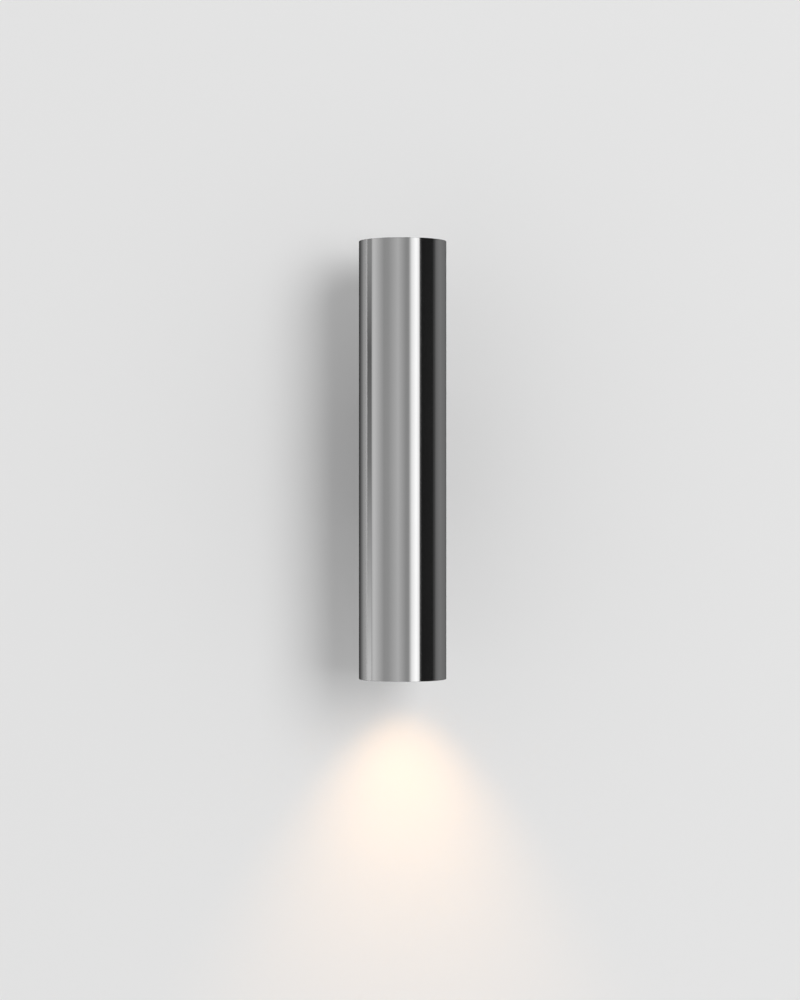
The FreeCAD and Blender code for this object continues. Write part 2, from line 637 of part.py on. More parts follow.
def chassis():
    """Folded strip: upright on the backing bar, with a shelf at its foot for the lampholder."""
    half = CHASSIS_WIDTH / 2
    shelf_front = AXIS_Y - HOLDER_WIDTH / 2
    upright = block(-half, half, CHASSIS_FACE_Y, BAR_FACE_Y, HOLDER_TOP, CHASSIS_TOP)
    foot = block(-half, half, shelf_front, BAR_FACE_Y, HOLDER_TOP, SHELF_TOP)
    strip = upright.fuse(foot).removeSplitter()
    lowest = [edge for edge in along(strip, X) if edge.CenterOfMass.z < SHELF_TOP - 0.1]
    strip = strip.makeFillet(CHASSIS_BEND, [edge for edge in lowest if edge.CenterOfMass.y > AXIS_Y])
    wide_back = CHASSIS_FACE_Y - CHASSIS_BEND
    shelf = block(-SHELF_WIDTH / 2, SHELF_WIDTH / 2, shelf_front, wide_back, HOLDER_TOP, SHELF_TOP)
    shelf = shelf.makeFillet(SHELF_CORNER, along(shelf, Z))
    strip = strip.fuse(shelf).removeSplitter()
    strip = drilled(strip, SHELF_WIRE_HOLE / 2, AXIS + Z * HOLDER_TOP, Z, CHASSIS_SHEET)
    strip = drilled(strip, CHASSIS_CABLE_HOLE / 2, Y * BAR_FACE_Y, -Y, CHASSIS_SHEET)
    for side in (-1, 1):
        screw = V(side * HOLDER_SCREW_SPACING / 2, AXIS_Y, HOLDER_TOP)
        strip = drilled(strip, M3_CLEAR / 2, screw, Z, CHASSIS_SHEET)
    points = fixing_points() + [(0, CHASSIS_SCREW_Z), (0, EARTH_SCREW_Z)]
    for x, z in points:
        strip = drilled(strip, M3_CLEAR / 2, V(x, BAR_FACE_Y, z), -Y, CHASSIS_SHEET)
    return strip


def chassis_screw():
    """Upper screw between chassis and backing bar."""
    seat = V(0, CHASSIS_FACE_Y, CHASSIS_SCREW_Z)
    return m3_screw(seat, Y, CHASSIS_SCREW_LENGTH)


def earth_tag():
    """Ring terminal under the lower screw, with a barrel that takes the earth wire."""
    seat = V(0, CHASSIS_FACE_Y, EARTH_SCREW_Z)
    tag = washer(seat, -Y, EARTH_TAG_DIAMETER, M3_CLEAR, CONTACT_SHEET)
    top = earth_barrel()
    half = EARTH_TAG_NECK / 2
    low = EARTH_SCREW_Z + M3_CLEAR / 2 + GAP
    neck = block(-half, half, CHASSIS_FACE_Y - CONTACT_SHEET, CHASSIS_FACE_Y, low, top.z)
    barrel = rod(WIRE_DIAMETER / 2, top - Z * EARTH_BARREL_LENGTH, Z, EARTH_BARREL_LENGTH)
    return tag.multiFuse([neck, barrel]).removeSplitter()


def earth_barrel():
    """Top of the earth tag's barrel, where the insulation of the earth wire starts."""
    barrel_bottom = EARTH_SCREW_Z + EARTH_TAG_DIAMETER / 2 + GAP
    return V(0, CHASSIS_FACE_Y - WIRE_DIAMETER / 2, barrel_bottom + EARTH_BARREL_LENGTH)


def earth_screw():
    """Lower screw of the chassis, which also clamps the earth tag."""
    seat = V(0, CHASSIS_FACE_Y - CONTACT_SHEET, EARTH_SCREW_Z)
    return m3_screw(seat, Y, CHASSIS_SCREW_LENGTH)


def cord_grip():
    """Moulded saddle that clamps the supply cable to the chassis."""
    low = GRIP_Z - GRIP_HEIGHT / 2
    high = GRIP_Z + GRIP_HEIGHT / 2
    half = CHASSIS_WIDTH / 2
    arch_y = CHASSIS_FACE_Y - CABLE_BORE / 2
    arch_radius = CABLE_BORE / 2 + GRIP_ARCH_WALL
    lugs = block(-half, half, CHASSIS_FACE_Y - GRIP_LUG, CHASSIS_FACE_Y, low, high)
    sides = block(-arch_radius, arch_radius, arch_y, CHASSIS_FACE_Y, low, high)
    arch = rod(arch_radius, V(0, arch_y, low), Z, GRIP_HEIGHT)
    arch = arch.common(block(-half, half, arch_y - arch_radius, arch_y, low, high))
    grip = lugs.multiFuse([sides, arch]).removeSplitter()
    grip = grip.makeFillet(1.0, [e for e in along(grip, Y) if abs(e.CenterOfMass.x) > half - 0.1])
    grip = drilled(grip, CABLE_BORE / 2, V(0, arch_y, low), Z, GRIP_HEIGHT)
    grip = grip.cut(block(-CABLE_BORE / 2, CABLE_BORE / 2, arch_y, CHASSIS_FACE_Y, low, high))
    for side in (-1, 1):
        screw = V(side * GRIP_SCREW_SPACING / 2, CHASSIS_FACE_Y, GRIP_Z)
        grip = drilled(grip, M3_CLEAR / 2, screw, -Y, BLOCK_DEPTH)
    return grip


def cord_grip_screws():
    """Two screws of the cord grip."""
    seat_y = CHASSIS_FACE_Y - GRIP_LUG
    seats = [V(side * GRIP_SCREW_SPACING / 2, seat_y, GRIP_Z) for side in (-1, 1)]
    return group([m3_screw(seat, Y, GRIP_LUG + GRIP_SCREW_LENGTH) for seat in seats])


# ---------------------------------------------------------------------------- terminal block
def way_places():
    """Distances of the terminal ways from the middle of the block."""
    return [(way - (WAY_COUNT - 1) / 2) * WAY_PITCH for way in range(WAY_COUNT)]


def screw_heights():
    """Heights of the two clamping screws of each way."""
    return [BLOCK_Z - TERMINAL_SCREW_OFFSET, BLOCK_Z + TERMINAL_SCREW_OFFSET]


def terminal_block():
    """Insulating body of the terminal block."""
    half = (WAY_COUNT - 1) * WAY_PITCH / 2 + INSERT_DIAMETER / 2 + WAY_WALL
    low = BLOCK_Z - BLOCK_HEIGHT / 2
    front = CHASSIS_FACE_Y - BLOCK_DEPTH
    body = block(-half, half, front, CHASSIS_FACE_Y, low, BLOCK_TOP)
    body = body.makeFillet(1.0, [e for e in along(body, Z) if e.CenterOfMass.y < front + 0.1])
    for x in way_places():
        body = drilled(body, INSERT_DIAMETER / 2 + SLIP, V(x, WAY_Y, low), Z, BLOCK_HEIGHT)
        for z in screw_heights():
            body = drilled(body, M3_THREAD / 2 + GAP, V(x, front, z), Y, BLOCK_DEPTH / 2)
    for side in (-1, 1):
        fixing = V(side * WAY_PITCH / 2, front, BLOCK_Z)
        body = drilled(body, M3_CLEAR / 2, fixing, Y, BLOCK_DEPTH)
        body = drilled(body, M3_HEAD / 2 + GAP, fixing, Y, M3_HEAD_HEIGHT)
    return body


def terminal_block_screws():
    """Two screws that fix the terminal block to chassis and bar, between its ways."""
    seat_y = CHASSIS_FACE_Y - BLOCK_DEPTH + M3_HEAD_HEIGHT
    seats = [V(side * WAY_PITCH / 2, seat_y, BLOCK_Z) for side in (-1, 1)]
    return group([m3_screw(seat, Y, BLOCK_SCREW_LENGTH) for seat in seats])


def terminal_inserts():
    """Brass tubes that join supply and lamp wires, one to a way."""
    low = BLOCK_Z - BLOCK_HEIGHT / 2 + INSERT_SHORT
    length = BLOCK_HEIGHT - 2 * INSERT_SHORT
    inserts = []
    for x in way_places():
        insert = rod(INSERT_DIAMETER / 2, V(x, WAY_Y, low), Z, length)
        insert = drilled(insert, INSERT_BORE / 2, V(x, WAY_Y, low), Z, length)
        for z in screw_heights():
            insert = drilled(insert, M3_THREAD / 2 + SLIP, V(x, WAY_Y, z), -Y, INSERT_DIAMETER)
        inserts.append(insert)
    return group(inserts)


def terminal_screws():
    """Clamping screws, two to a way. The upper ones stand on the lamp wires' cores."""
    outer = CHASSIS_FACE_Y - BLOCK_DEPTH + TERMINAL_SCREW_SUNK
    tip = WAY_Y - CORE_DIAMETER / 2
    screws = []
    for x in way_places():
        for z in screw_heights():
            screw = rod(M3_THREAD / 2, V(x, outer, z), Y, tip - outer)
            slot = block(x - M3_THREAD, x + M3_THREAD, outer, outer + RECESS_SLOT, z - 0.35, z + 0.35)
            screws.append(screw.cut(slot))
    return group(screws)


# ---------------------------------------------------------------------------- wires
def wire_cores():
    """Bare ends of the lamp wires inside the terminal inserts."""
    return group([
        rod(CORE_DIAMETER / 2, V(x, WAY_Y, BLOCK_TOP), -Z, CORE_LENGTH) for x in way_places()
    ])


def wire_loop(x):
    """First points of each lamp wire: up out of its way, and over to the tube's axis."""
    crown = BLOCK_TOP + WIRE_RISE
    return [V(x, WAY_Y, BLOCK_TOP), V(x, WAY_Y, crown), V(x, AXIS_Y, crown)]


def pole_wire(side):
    """Live or neutral wire, from its way over and down to the lampholder."""
    x = side * WAY_PITCH
    pin_x = side * PIN_SPACING / 2
    points = wire_loop(x) + [
        V(x, AXIS_Y, BLOCK_Z - BLOCK_HEIGHT),
        V(pin_x, AXIS_Y, SHELF_TOP + 3 * WIRE_BEND),
        V(pin_x, AXIS_Y, HOLDER_TOP - HOLDER_WIRE_DEPTH),
    ]
    return wire_along(points, WIRE_DIAMETER, WIRE_BEND)


def live_wire():
    """Brown wire, on the left."""
    return pole_wire(-1)


def neutral_wire():
    """Blue wire, on the right."""
    return pole_wire(1)


def earth_wire():
    """Green and yellow wire, from the middle way down to the earth tag on the chassis."""
    end = earth_barrel()
    points = wire_loop(0) + [
        V(0, AXIS_Y, end.z + 5 * WIRE_BEND / 2),
        V(0, end.y, end.z + WIRE_BEND),
        end,
    ]
    return wire_along(points, WIRE_DIAMETER, WIRE_BEND)


# ---------------------------------------------------------------------------- lampholder
def holder_block(z0, z1):
    """Ceramic block with rounded corners, about the tube's axis."""
    half_length = HOLDER_LENGTH / 2
    half_width = HOLDER_WIDTH / 2
    shape = block(-half_length, half_length, AXIS_Y - half_width, AXIS_Y + half_width, z0, z1)
    shape = shape.makeFillet(HOLDER_CORNER, along(shape, Z))
    for side in (-1, 1):
        screw = V(side * HOLDER_SCREW_SPACING / 2, AXIS_Y, z0)
        shape = drilled(shape, M3_CLEAR / 2, screw, Z, z1 - z0)
    return shape


def arc_slot(side, half_width, z0, z1):
    """Curved slot that a pin sweeps when the lamp turns from locked to free."""
    radius = PIN_SPACING / 2
    start = 0 if side > 0 else 180
    slot = hollow_disc(radius + half_width, radius - half_width, z0, z1)
    reach = PIN_SPACING + PIN_HEAD
    free = math.radians(-TWIST)
    corners = [V(), V(reach, 0, 0), V(math.cos(free), math.sin(free), 0) * reach]
    sector = Part.Face(Part.makePolygon(corners + corners[:1])).extrude(Z * (z1 - z0))
    sector.rotate(V(), Z, start)
    sector.translate(AXIS + Z * z0)
    slot = slot.common(sector)
    for angle in (0, -TWIST):
        a = math.radians(start + angle)
        end = AXIS + V(radius * math.cos(a), radius * math.sin(a), z0)
        slot = slot.fuse(rod(half_width, end, Z, z1 - z0))
    return slot


def lampholder_face():
    """Lower ceramic plate, with a keyhole arc for each pin of the lamp."""
    plate = holder_block(HOLDER_BOTTOM, HOLDER_JOINT)
    for side in (-1, 1):
        plate = plate.cut(arc_slot(side, PIN_NECK / 2 + HOLDER_PLAY, HOLDER_BOTTOM, HOLDER_JOINT))
        a = math.radians((0 if side > 0 else 180) - TWIST)
        entry = AXIS + V(math.cos(a), math.sin(a), 0) * (PIN_SPACING / 2) + Z * HOLDER_BOTTOM
        plate = drilled(plate, PIN_HEAD / 2 + HOLDER_PLAY, entry, Z, HOLDER_FACE)
        screw = V(side * HOLDER_SCREW_SPACING / 2, AXIS_Y, HOLDER_BOTTOM)
        plate = drilled(plate, M3_HEAD / 2 + GAP, screw, Z, M3_HEAD_HEIGHT)
    return plate


def lampholder_body():
    """Upper ceramic block, with the chamber where the pins turn and the two wire holes."""
    body = holder_block(HOLDER_JOINT, HOLDER_TOP)
    body = drilled(body, HOLDER_CAVITY / 2, AXIS + Z * HOLDER_JOINT, Z, HOLDER_CAVITY_DEPTH)
    for side in (-1, 1):
        hole = V(side * PIN_SPACING / 2, AXIS_Y, HOLDER_JOINT)
        body = drilled(body, WIRE_DIAMETER / 2 + SLIP, hole, Z, HOLDER_BODY)
    return body


def lampholder_contacts():
    """Leaf springs beside the pins, each with a tab that takes its wire."""
    outer = HOLDER_CAVITY / 2 - SLIP
    low = HOLDER_JOINT + HOLDER_CAVITY_DEPTH - CONTACT_HEIGHT
    high = HOLDER_JOINT + HOLDER_CAVITY_DEPTH
    leaf = hollow_disc(outer, outer - CONTACT_SHEET, low, high)
    tab = rod(outer, AXIS + Z * (high - CONTACT_SHEET), Z, CONTACT_SHEET)
    barrel_height = HOLDER_BODY - HOLDER_CAVITY_DEPTH - HOLDER_WIRE_DEPTH
    contacts = []
    for side in (-1, 1):
        middle = 0 if side > 0 else 180
        spread = math.radians(CONTACT_SPAN / 2)
        reach = 2 * HOLDER_CAVITY
        corners = [V(), V(reach, -reach * math.tan(spread), 0), V(reach, reach * math.tan(spread), 0)]
        sector = Part.Face(Part.makePolygon(corners + corners[:1])).extrude(Z * (high - low))
        sector.rotate(V(), Z, middle)
        sector.translate(AXIS + Z * low)
        inner_x = PIN_SPACING / 2 - WIRE_DIAMETER / 2
        inner = block(inner_x, reach, -WIRE_DIAMETER, WIRE_DIAMETER, 0, CONTACT_SHEET)
        inner.rotate(V(), Z, middle)
        inner.translate(AXIS + Z * (high - CONTACT_SHEET))
        barrel = rod(WIRE_DIAMETER / 2 - SLIP, V(side * PIN_SPACING / 2, AXIS_Y, high), Z, barrel_height)
        contacts.append(leaf.common(sector).multiFuse([tab.common(inner), barrel]).removeSplitter())
    return group(contacts)


def lampholder_screws():
    """Two screws up through both ceramic pieces and the shelf."""
    seat_z = HOLDER_BOTTOM + M3_HEAD_HEIGHT
    seats = [V(side * HOLDER_SCREW_SPACING / 2, AXIS_Y, seat_z) for side in (-1, 1)]
    return group([m3_screw(seat, Z, SHELF_TOP + M3_NUT_HEIGHT - seat_z) for seat in seats])


def lampholder_nuts():
    """Nuts of the lampholder screws, on top of the shelf."""
    nuts = []
    for side in (-1, 1):
        seat = V(side * HOLDER_SCREW_SPACING / 2, AXIS_Y, SHELF_TOP)
        nut = hexagon(seat, Z, M3_NUT, M3_NUT_HEIGHT)
        nuts.append(drilled(nut, M3_THREAD / 2 + SLIP, seat, Z, M3_NUT_HEIGHT))
    return group(nuts)


# ---------------------------------------------------------------------------- lamp
def bowed(start, end, bulge):
    """Arc between two points of a half section, bowed away from the axis."""
    middle = (start + end) * 0.5
    chord = (end - start).normalize()
    outward = chord.cross(Y)
    if outward.x < 0:
        outward = -outward
    return Part.Arc(start, middle + outward * bulge, end).toShape()


def shell_flank(inset):
    """Edge of the lamp's bell, from its rim to its waist, moved in by an inset."""
    wide = at(LAMP_DIAMETER / 2 - inset, LAMP_FACE + LAMP_RIM)
    narrow = at(LAMP_WAIST_DIAMETER / 2 - inset, LAMP_FACE + LAMP_SHELL_HEIGHT)
    return bowed(wide, narrow, LAMP_BULGE)


def shell_room():
    """Space inside the lamp's bell."""
    inner = LAMP_DIAMETER / 2 - LAMP_SHELL_WALL
    waist = LAMP_WAIST_DIAMETER / 2 - LAMP_SHELL_WALL
    top = LAMP_FACE + LAMP_SHELL_HEIGHT
    edges = lines([at(0, LAMP_FACE), at(inner, LAMP_FACE), at(inner, LAMP_FACE + LAMP_RIM)])
    edges.append(shell_flank(LAMP_SHELL_WALL))
    edges.extend(lines([at(waist, top), at(0, top), at(0, LAMP_FACE)]))
    return turned(edges)


def lamp_shell():
    """Bell of the reflector lamp."""
    rim = LAMP_DIAMETER / 2
    soft = LAMP_SOFT_EDGE
    waist = LAMP_WAIST_DIAMETER / 2
    top = LAMP_FACE + LAMP_SHELL_HEIGHT
    edges = lines([
        at(0, LAMP_FACE), at(rim - soft, LAMP_FACE), at(rim, LAMP_FACE + soft),
        at(rim, LAMP_FACE + LAMP_RIM),
    ])
    edges.append(shell_flank(0))
    edges.extend(lines([at(waist, top), at(0, top), at(0, LAMP_FACE)]))
    return turned(edges).cut(shell_room())


def lamp_lens():
    """Clear lens of the lamp: a disc with a bell behind it that gathers the light."""
    edge = LAMP_DIAMETER / 2 - LAMP_SHELL_WALL - SLIP
    face = LAMP_FACE + LENS_SUNK
    back = face + LENS_THICKNESS
    top = face + LENS_HEIGHT
    pocket = LED_DIAMETER / 2 + GAP
    edges = lines([at(0, face), at(edge, face), at(edge, back), at(LENS_CONE_DIAMETER / 2, back)])
    edges.append(bowed(at(LENS_CONE_DIAMETER / 2, back), at(LENS_NECK_DIAMETER / 2, top), LENS_BULGE))
    edges.extend(lines([
        at(LENS_NECK_DIAMETER / 2, top), at(pocket, top), at(pocket, top - LENS_POCKET_DEPTH),
        at(0, top - LENS_POCKET_DEPTH), at(0, face),
    ]))
    return turned(edges)


def lamp_led():
    """Light source on the lamp's board."""
    return rod(LED_DIAMETER / 2, AXIS + Z * LED_FACE, Z, LED_THICKNESS)


def lamp_led_board():
    """Metal board across the bell, seated on its wall."""
    slab = rod(LAMP_DIAMETER, AXIS + Z * BOARD_FACE, Z, BOARD_THICKNESS)
    return slab.common(shell_room())


def lamp_driver_board():
    """Upright driver board behind the light source, with a capacitor and a coil."""
    half = DRIVER_WIDTH / 2
    face = AXIS_Y - DRIVER_THICKNESS / 2
    board = block(-half, half, face, face + DRIVER_THICKNESS, BOARD_BACK, DRIVER_TOP)
    low = BOARD_BACK + DRIVER_PART_RISE
    foot = V(0, face - CAPACITOR_DIAMETER / 2, low)
    capacitor = rod(CAPACITOR_DIAMETER / 2, foot, Z, CAPACITOR_HEIGHT)
    back = face + DRIVER_THICKNESS
    coil = block(-COIL_SIDE / 2, COIL_SIDE / 2, back, back + COIL_DEPTH, low, low + COIL_SIDE)
    return group([board, capacitor, coil])


def lamp_base():
    """Insulating base of the lamp: a spigot in the bell, a shoulder, and the head that holds the pins."""
    joint = LAMP_FACE + LAMP_SHELL_HEIGHT
    waist = LAMP_WAIST_DIAMETER / 2
    spigot = waist - LAMP_SHELL_WALL - SLIP
    spigot_z = joint - LAMP_BASE_SPIGOT
    head = LAMP_BASE_DIAMETER / 2
    shoulder = joint + (waist - head)
    inner = head - LAMP_BASE_SIDE
    neck = spigot - LAMP_BASE_SPIGOT_WALL
    soft = LAMP_SOFT_EDGE
    base = turned_outline([
        (neck, spigot_z), (spigot, spigot_z), (spigot, joint), (waist, joint),
        (head, shoulder), (head, LAMP_TOP - soft), (head - soft, LAMP_TOP), (0, LAMP_TOP),
        (0, LAMP_TOP - LAMP_BASE_WALL), (inner, LAMP_TOP - LAMP_BASE_WALL), (inner, shoulder),
        (neck, joint),
    ])
    for side in (-1, 1):
        root = V(side * PIN_SPACING / 2, AXIS_Y, LAMP_TOP - LAMP_BASE_WALL)
        base = drilled(base, PIN_NECK / 2 + SLIP, root, Z, LAMP_BASE_WALL)
    return base


def lamp_pins():
    """Headed pins of the lamp."""
    pins = []
    for side in (-1, 1):
        root = V(side * PIN_SPACING / 2, AXIS_Y, LAMP_TOP - PIN_ROOT)
        head = V(side * PIN_SPACING / 2, AXIS_Y, PIN_HEAD_BOTTOM)
        pin = rod(PIN_NECK / 2, root, Z, PIN_HEAD_BOTTOM - root.z)
        pins.append(pin.fuse(rod(PIN_HEAD / 2, head, Z, PIN_HEAD_HEIGHT)).removeSplitter())
    return group(pins)


# ---------------------------------------------------------------------------- mouth of the tube
def mouth_collar():
    """Threaded ring fixed in the mouth of the tube, with a lip above the glass."""
    lip = COLLAR_BORE - COLLAR_LIP
    outer = TUBE_BORE - SLIP
    return turned_outline([
        (COLLAR_BORE, COLLAR_BOTTOM), (outer, COLLAR_BOTTOM), (outer, LIP_TOP), (lip, LIP_TOP),
        (lip, LIP_BOTTOM), (COLLAR_BORE, LIP_BOTTOM),
    ])


def lens_gasket():
    """Flat silicone ring between the glass and the collar's lip."""
    outer = COLLAR_BORE - GLASS_PLAY
    return hollow_disc(outer, COLLAR_BORE - COLLAR_LIP, GLASS_TOP, LIP_BOTTOM - SLIP)


def glass_lens():
    """Clear glass disc with bevelled edges."""
    edge = COLLAR_BORE - GLASS_PLAY
    bevel = GLASS_EDGE_CHAMFER
    return turned_outline([
        (0, RING_TOP), (edge - bevel, RING_TOP), (edge, RING_TOP + bevel), (edge, GLASS_TOP - bevel),
        (edge - bevel, GLASS_TOP), (0, GLASS_TOP),
    ])


def glare_ring():
    """Black ring that screws into the collar and holds the glass. Its bore narrows in steps."""
    flange = TUBE_BORE - GAP
    flange_top = RING_BOTTOM + RING_FLANGE
    thread = COLLAR_BORE - RUNNING
    relief = thread - RING_THREAD_RELIEF
    thread_top = flange_top + RING_THREAD_LENGTH
    rise = RING_LENGTH / RING_STEPS
    outline = [
        (flange, RING_BOTTOM), (flange, flange_top), (thread, flange_top), (thread, thread_top),
        (relief, thread_top), (relief, RING_TOP),
    ]
    radius = relief - RING_TOP_WALL
    for step in range(RING_STEPS):
        high = RING_TOP - step * rise
        outline.append((radius, high))
        outline.append((radius, high - rise))
        radius = radius + RING_STEP_IN
    ring = turned_outline(outline)
    for slot in range(RING_SLOTS):
        cut = block(0, TUBE_RADIUS, -RING_SLOT_WIDTH / 2, RING_SLOT_WIDTH / 2, 0, RING_SLOT_DEPTH)
        cut.rotate(V(), Z, slot * 360 / RING_SLOTS + 90)
        cut.translate(AXIS + Z * RING_BOTTOM)
        ring = ring.cut(cut)
    return ring


# ---------------------------------------------------------------------------- output
PIECES = [
    wall_bracket, cable_grommet, bracket_earth_washer, bracket_earth_screw,
    canopy, wall_seal, hook_rods, saddle_gasket, saddle_washers, saddle_screws, lock_pad, lock_screw,
    tube, tube_grommet, top_cap, cap_seal,
    backing_bar, chassis, chassis_screw, earth_tag, earth_screw, cord_grip, cord_grip_screws,
    terminal_block, terminal_block_screws, terminal_inserts, terminal_screws,
    wire_cores, live_wire, neutral_wire, earth_wire,
    lampholder_face, lampholder_body, lampholder_contacts, lampholder_screws, lampholder_nuts,
    lamp_shell, lamp_lens, lamp_led, lamp_led_board, lamp_driver_board, lamp_base, lamp_pins,
    mouth_collar, lens_gasket, glass_lens, glare_ring,
]

os.makedirs("parts", exist_ok=True)
for piece in PIECES:
    shape = piece()
    shape.exportStep(os.path.join("parts", piece.__name__ + ".step"))
    valid = "valid" if shape.isValid() else "NOT VALID"
    print(f"{piece.__name__:24s} solids {len(shape.Solids):2d}  volume {shape.Volume:10.1f}  {valid}")
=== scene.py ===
"""Tube wall light: finishes, turned and threaded pieces, wall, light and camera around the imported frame."""

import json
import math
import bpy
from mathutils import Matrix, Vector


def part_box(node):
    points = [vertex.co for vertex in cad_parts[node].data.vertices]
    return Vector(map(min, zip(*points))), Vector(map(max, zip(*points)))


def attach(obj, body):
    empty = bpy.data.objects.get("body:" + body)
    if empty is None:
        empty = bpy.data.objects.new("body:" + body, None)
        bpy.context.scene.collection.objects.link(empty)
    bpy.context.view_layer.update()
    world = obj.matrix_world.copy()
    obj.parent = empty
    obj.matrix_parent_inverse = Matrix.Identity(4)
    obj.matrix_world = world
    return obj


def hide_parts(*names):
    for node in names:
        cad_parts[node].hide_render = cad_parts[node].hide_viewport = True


bl_info = {
    "name": "Tube wall light",
    "version": (1, 0, 0),
    "blender": (4, 5, 0),
    "location": "3D View > Sidebar > Tube light",
    "description": "Builds the finishes, turned pieces and studio of a steel tube wall light",
    "category": "Object",
}

import bmesh
import bpy
from bpy.props import FloatProperty, FloatVectorProperty, IntProperty, PointerProperty
from mathutils import Vector

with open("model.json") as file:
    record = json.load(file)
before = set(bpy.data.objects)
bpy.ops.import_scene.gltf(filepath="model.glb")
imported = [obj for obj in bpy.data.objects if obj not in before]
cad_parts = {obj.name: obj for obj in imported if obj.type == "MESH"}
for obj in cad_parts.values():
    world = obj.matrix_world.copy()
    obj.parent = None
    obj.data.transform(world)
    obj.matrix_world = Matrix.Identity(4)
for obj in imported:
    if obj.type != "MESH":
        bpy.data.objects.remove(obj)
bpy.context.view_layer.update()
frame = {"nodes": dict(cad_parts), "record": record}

MM = 0.001
SHARP_ANGLE = math.radians(32)  # an edge sharper than this stays sharp
SMALL_STEPS = 96  # round a small turned piece
LARGE_STEPS = 192  # round a seal or gasket
LENS_STEPS = 384  # round the lamp's lens
FACE_RINGS = 80  # across the lens's face
FLANK_RINGS = 16  # along the lens's flank

# Places that the frame gives
TUBE_LOW, TUBE_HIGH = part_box("tube")
CAP_LOW, CAP_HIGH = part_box("top_cap")
RING_LOW, RING_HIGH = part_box("glare_ring")
LENS_LOW, LENS_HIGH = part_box("lamp_lens")
GLASS_LOW, GLASS_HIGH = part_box("glass_lens")
TUBE_RADIUS = (TUBE_HIGH.x - TUBE_LOW.x) / 2
TUBE_AXIS = Vector((0, (TUBE_LOW.y + TUBE_HIGH.y) / 2, 0))


# ---------------------------------------------------------------------------- settings
def length(name, description, millimetres):
    """Size that a user would change."""
    return FloatProperty(name=name, description=description, default=millimetres * MM, unit="LENGTH")


def angle(name, description, degrees):
    """Angle that a user would change."""
    return FloatProperty(name=name, description=description, default=math.radians(degrees), subtype="ANGLE")


def tint(name, description, colour):
    """Colour that a user would change."""
    return FloatVectorProperty(name=name, description=description, default=colour, subtype="COLOR")


def power(name, description, watts):
    """Power of a light."""
    return FloatProperty(name=name, description=description, default=watts, unit="POWER")


def number(name, description, value):
    """Plain number that a user would change."""
    return FloatProperty(name=name, description=description, default=value)


class TubeSettings(bpy.types.PropertyGroup):
    """Sizes of the turned pieces that the frame's boxes don't give."""

    wall: length("Tube wall", "Thickness of the tube's wall", 1.5)
    rim_chamfer: length("Rim chamfer", "Bevel on the tube's outer rims", 0.3)
    cable_hole: length("Cable hole", "Radius of the hole in the tube's back", 6.0)
    screw_hole: length("Screw hole", "Radius of the two holes in the tube's back", 2.25)
    screw_height: length("Screw height", "Height of the screw holes above and below the middle", 36.0)
    segments: IntProperty(
        name="Segments", description="Steps round a turned piece", default=256, min=32)


class CapSettings(bpy.types.PropertyGroup):
    """Sizes of the top cap."""

    plate: length("Plate", "Thickness of the cap's plate", 3.0)
    skirt_wall: length("Skirt wall", "Thickness of the cap's skirt", 4.0)
    chamfer: length("Chamfer", "Bevel on the cap's edge", 0.4)
    groove_width: length("Groove width", "Width of the seal's groove", 2.4)
    groove_depth: length("Groove depth", "Depth of the seal's groove", 1.95)


class RingSettings(bpy.types.PropertyGroup):
    """Sizes of the glare ring."""

    flange: length("Flange", "Thickness of the ring's flange", 1.6)
    thread_length: length("Thread length", "Length of the ring's thread", 6.0)
    thread_depth: length("Thread depth", "Height of the thread's ridge", 0.4)
    pitch: length("Pitch", "Rise of the thread in one turn", 1.5)
    play: length("Play", "Room between the ring's thread and the collar", 0.1)
    top_wall: length("Wall at the top", "Thickness of the ring beside the glass", 3.5)
    steps: IntProperty(name="Steps", description="Steps in the ring's bore", default=8, min=1)
    glass_play: length("Glass play", "Room between the glass and the collar", 0.4)
    edge: length("Edge", "Bevel on the ring's edges", 0.15)
    step_in: length("Step", "How much each step widens the bore", 0.3)
    slots: IntProperty(name="Slots", description="Key slots in the ring's face", default=3, min=0)
    slot_width: length("Slot width", "Width of a key slot", 3.0)
    slot_depth: length("Slot depth", "Depth of a key slot", 0.9)


class OpticSettings(bpy.types.PropertyGroup):
    """Sizes of the lamp's lens."""

    disc: length("Disc", "Thickness of the lens's disc", 1.6)
    cone: length("Cone", "Radius of the light guide where it meets the disc", 20.0)
    neck: length("Neck", "Radius of the light guide at the light source", 6.5)
    bulge: length("Bulge", "How far the light guide's flank bows out", 2.0)
    pocket: length("Pocket", "Radius of the hollow over the light source", 4.3)
    pocket_depth: length("Pocket depth", "Depth of that hollow", 2.0)
    facet: length("Facet", "Distance between the small lenses on the disc", 2.6)
    facet_field: length("Facet field", "Radius of the field of small lenses", 20.0)
    facet_sag: length("Facet rise", "Height of the small lenses", 0.28)


class SealSettings(bpy.types.PropertyGroup):
    """Sizes of the foam strip, grommets and gaskets."""

    strip_width: length("Strip width", "Width of the foam strip", 2.0)
    strip_corner: length("Strip corner", "Radius of the strip's middle line at its corners", 6.7)
    strip_edge: length("Strip edge", "Rounding of the foam's edges", 0.3)
    bore: length("Grommet bore", "Radius of the grommets' bore", 4.0)
    neck: length("Grommet neck", "Radius of the wall grommet's neck", 7.0)
    lip: length("Grommet lip", "Thickness of the wall grommet's lips", 1.6)
    tube_neck: length("Tube grommet neck", "Radius of the tube grommet's neck", 6.0)
    tube_lip: length("Tube grommet lip", "Thickness of the tube grommet's lips", 1.5)
    soft_lip: length("Lip rounding", "Rounding of the rubber lips", 0.6)
    sheet_edge: length("Sheet rounding", "Rounding of the flat gaskets' edges", 0.15)
    lens_seat: length("Lens gasket width", "Width of the gasket on the glass", 1.1)


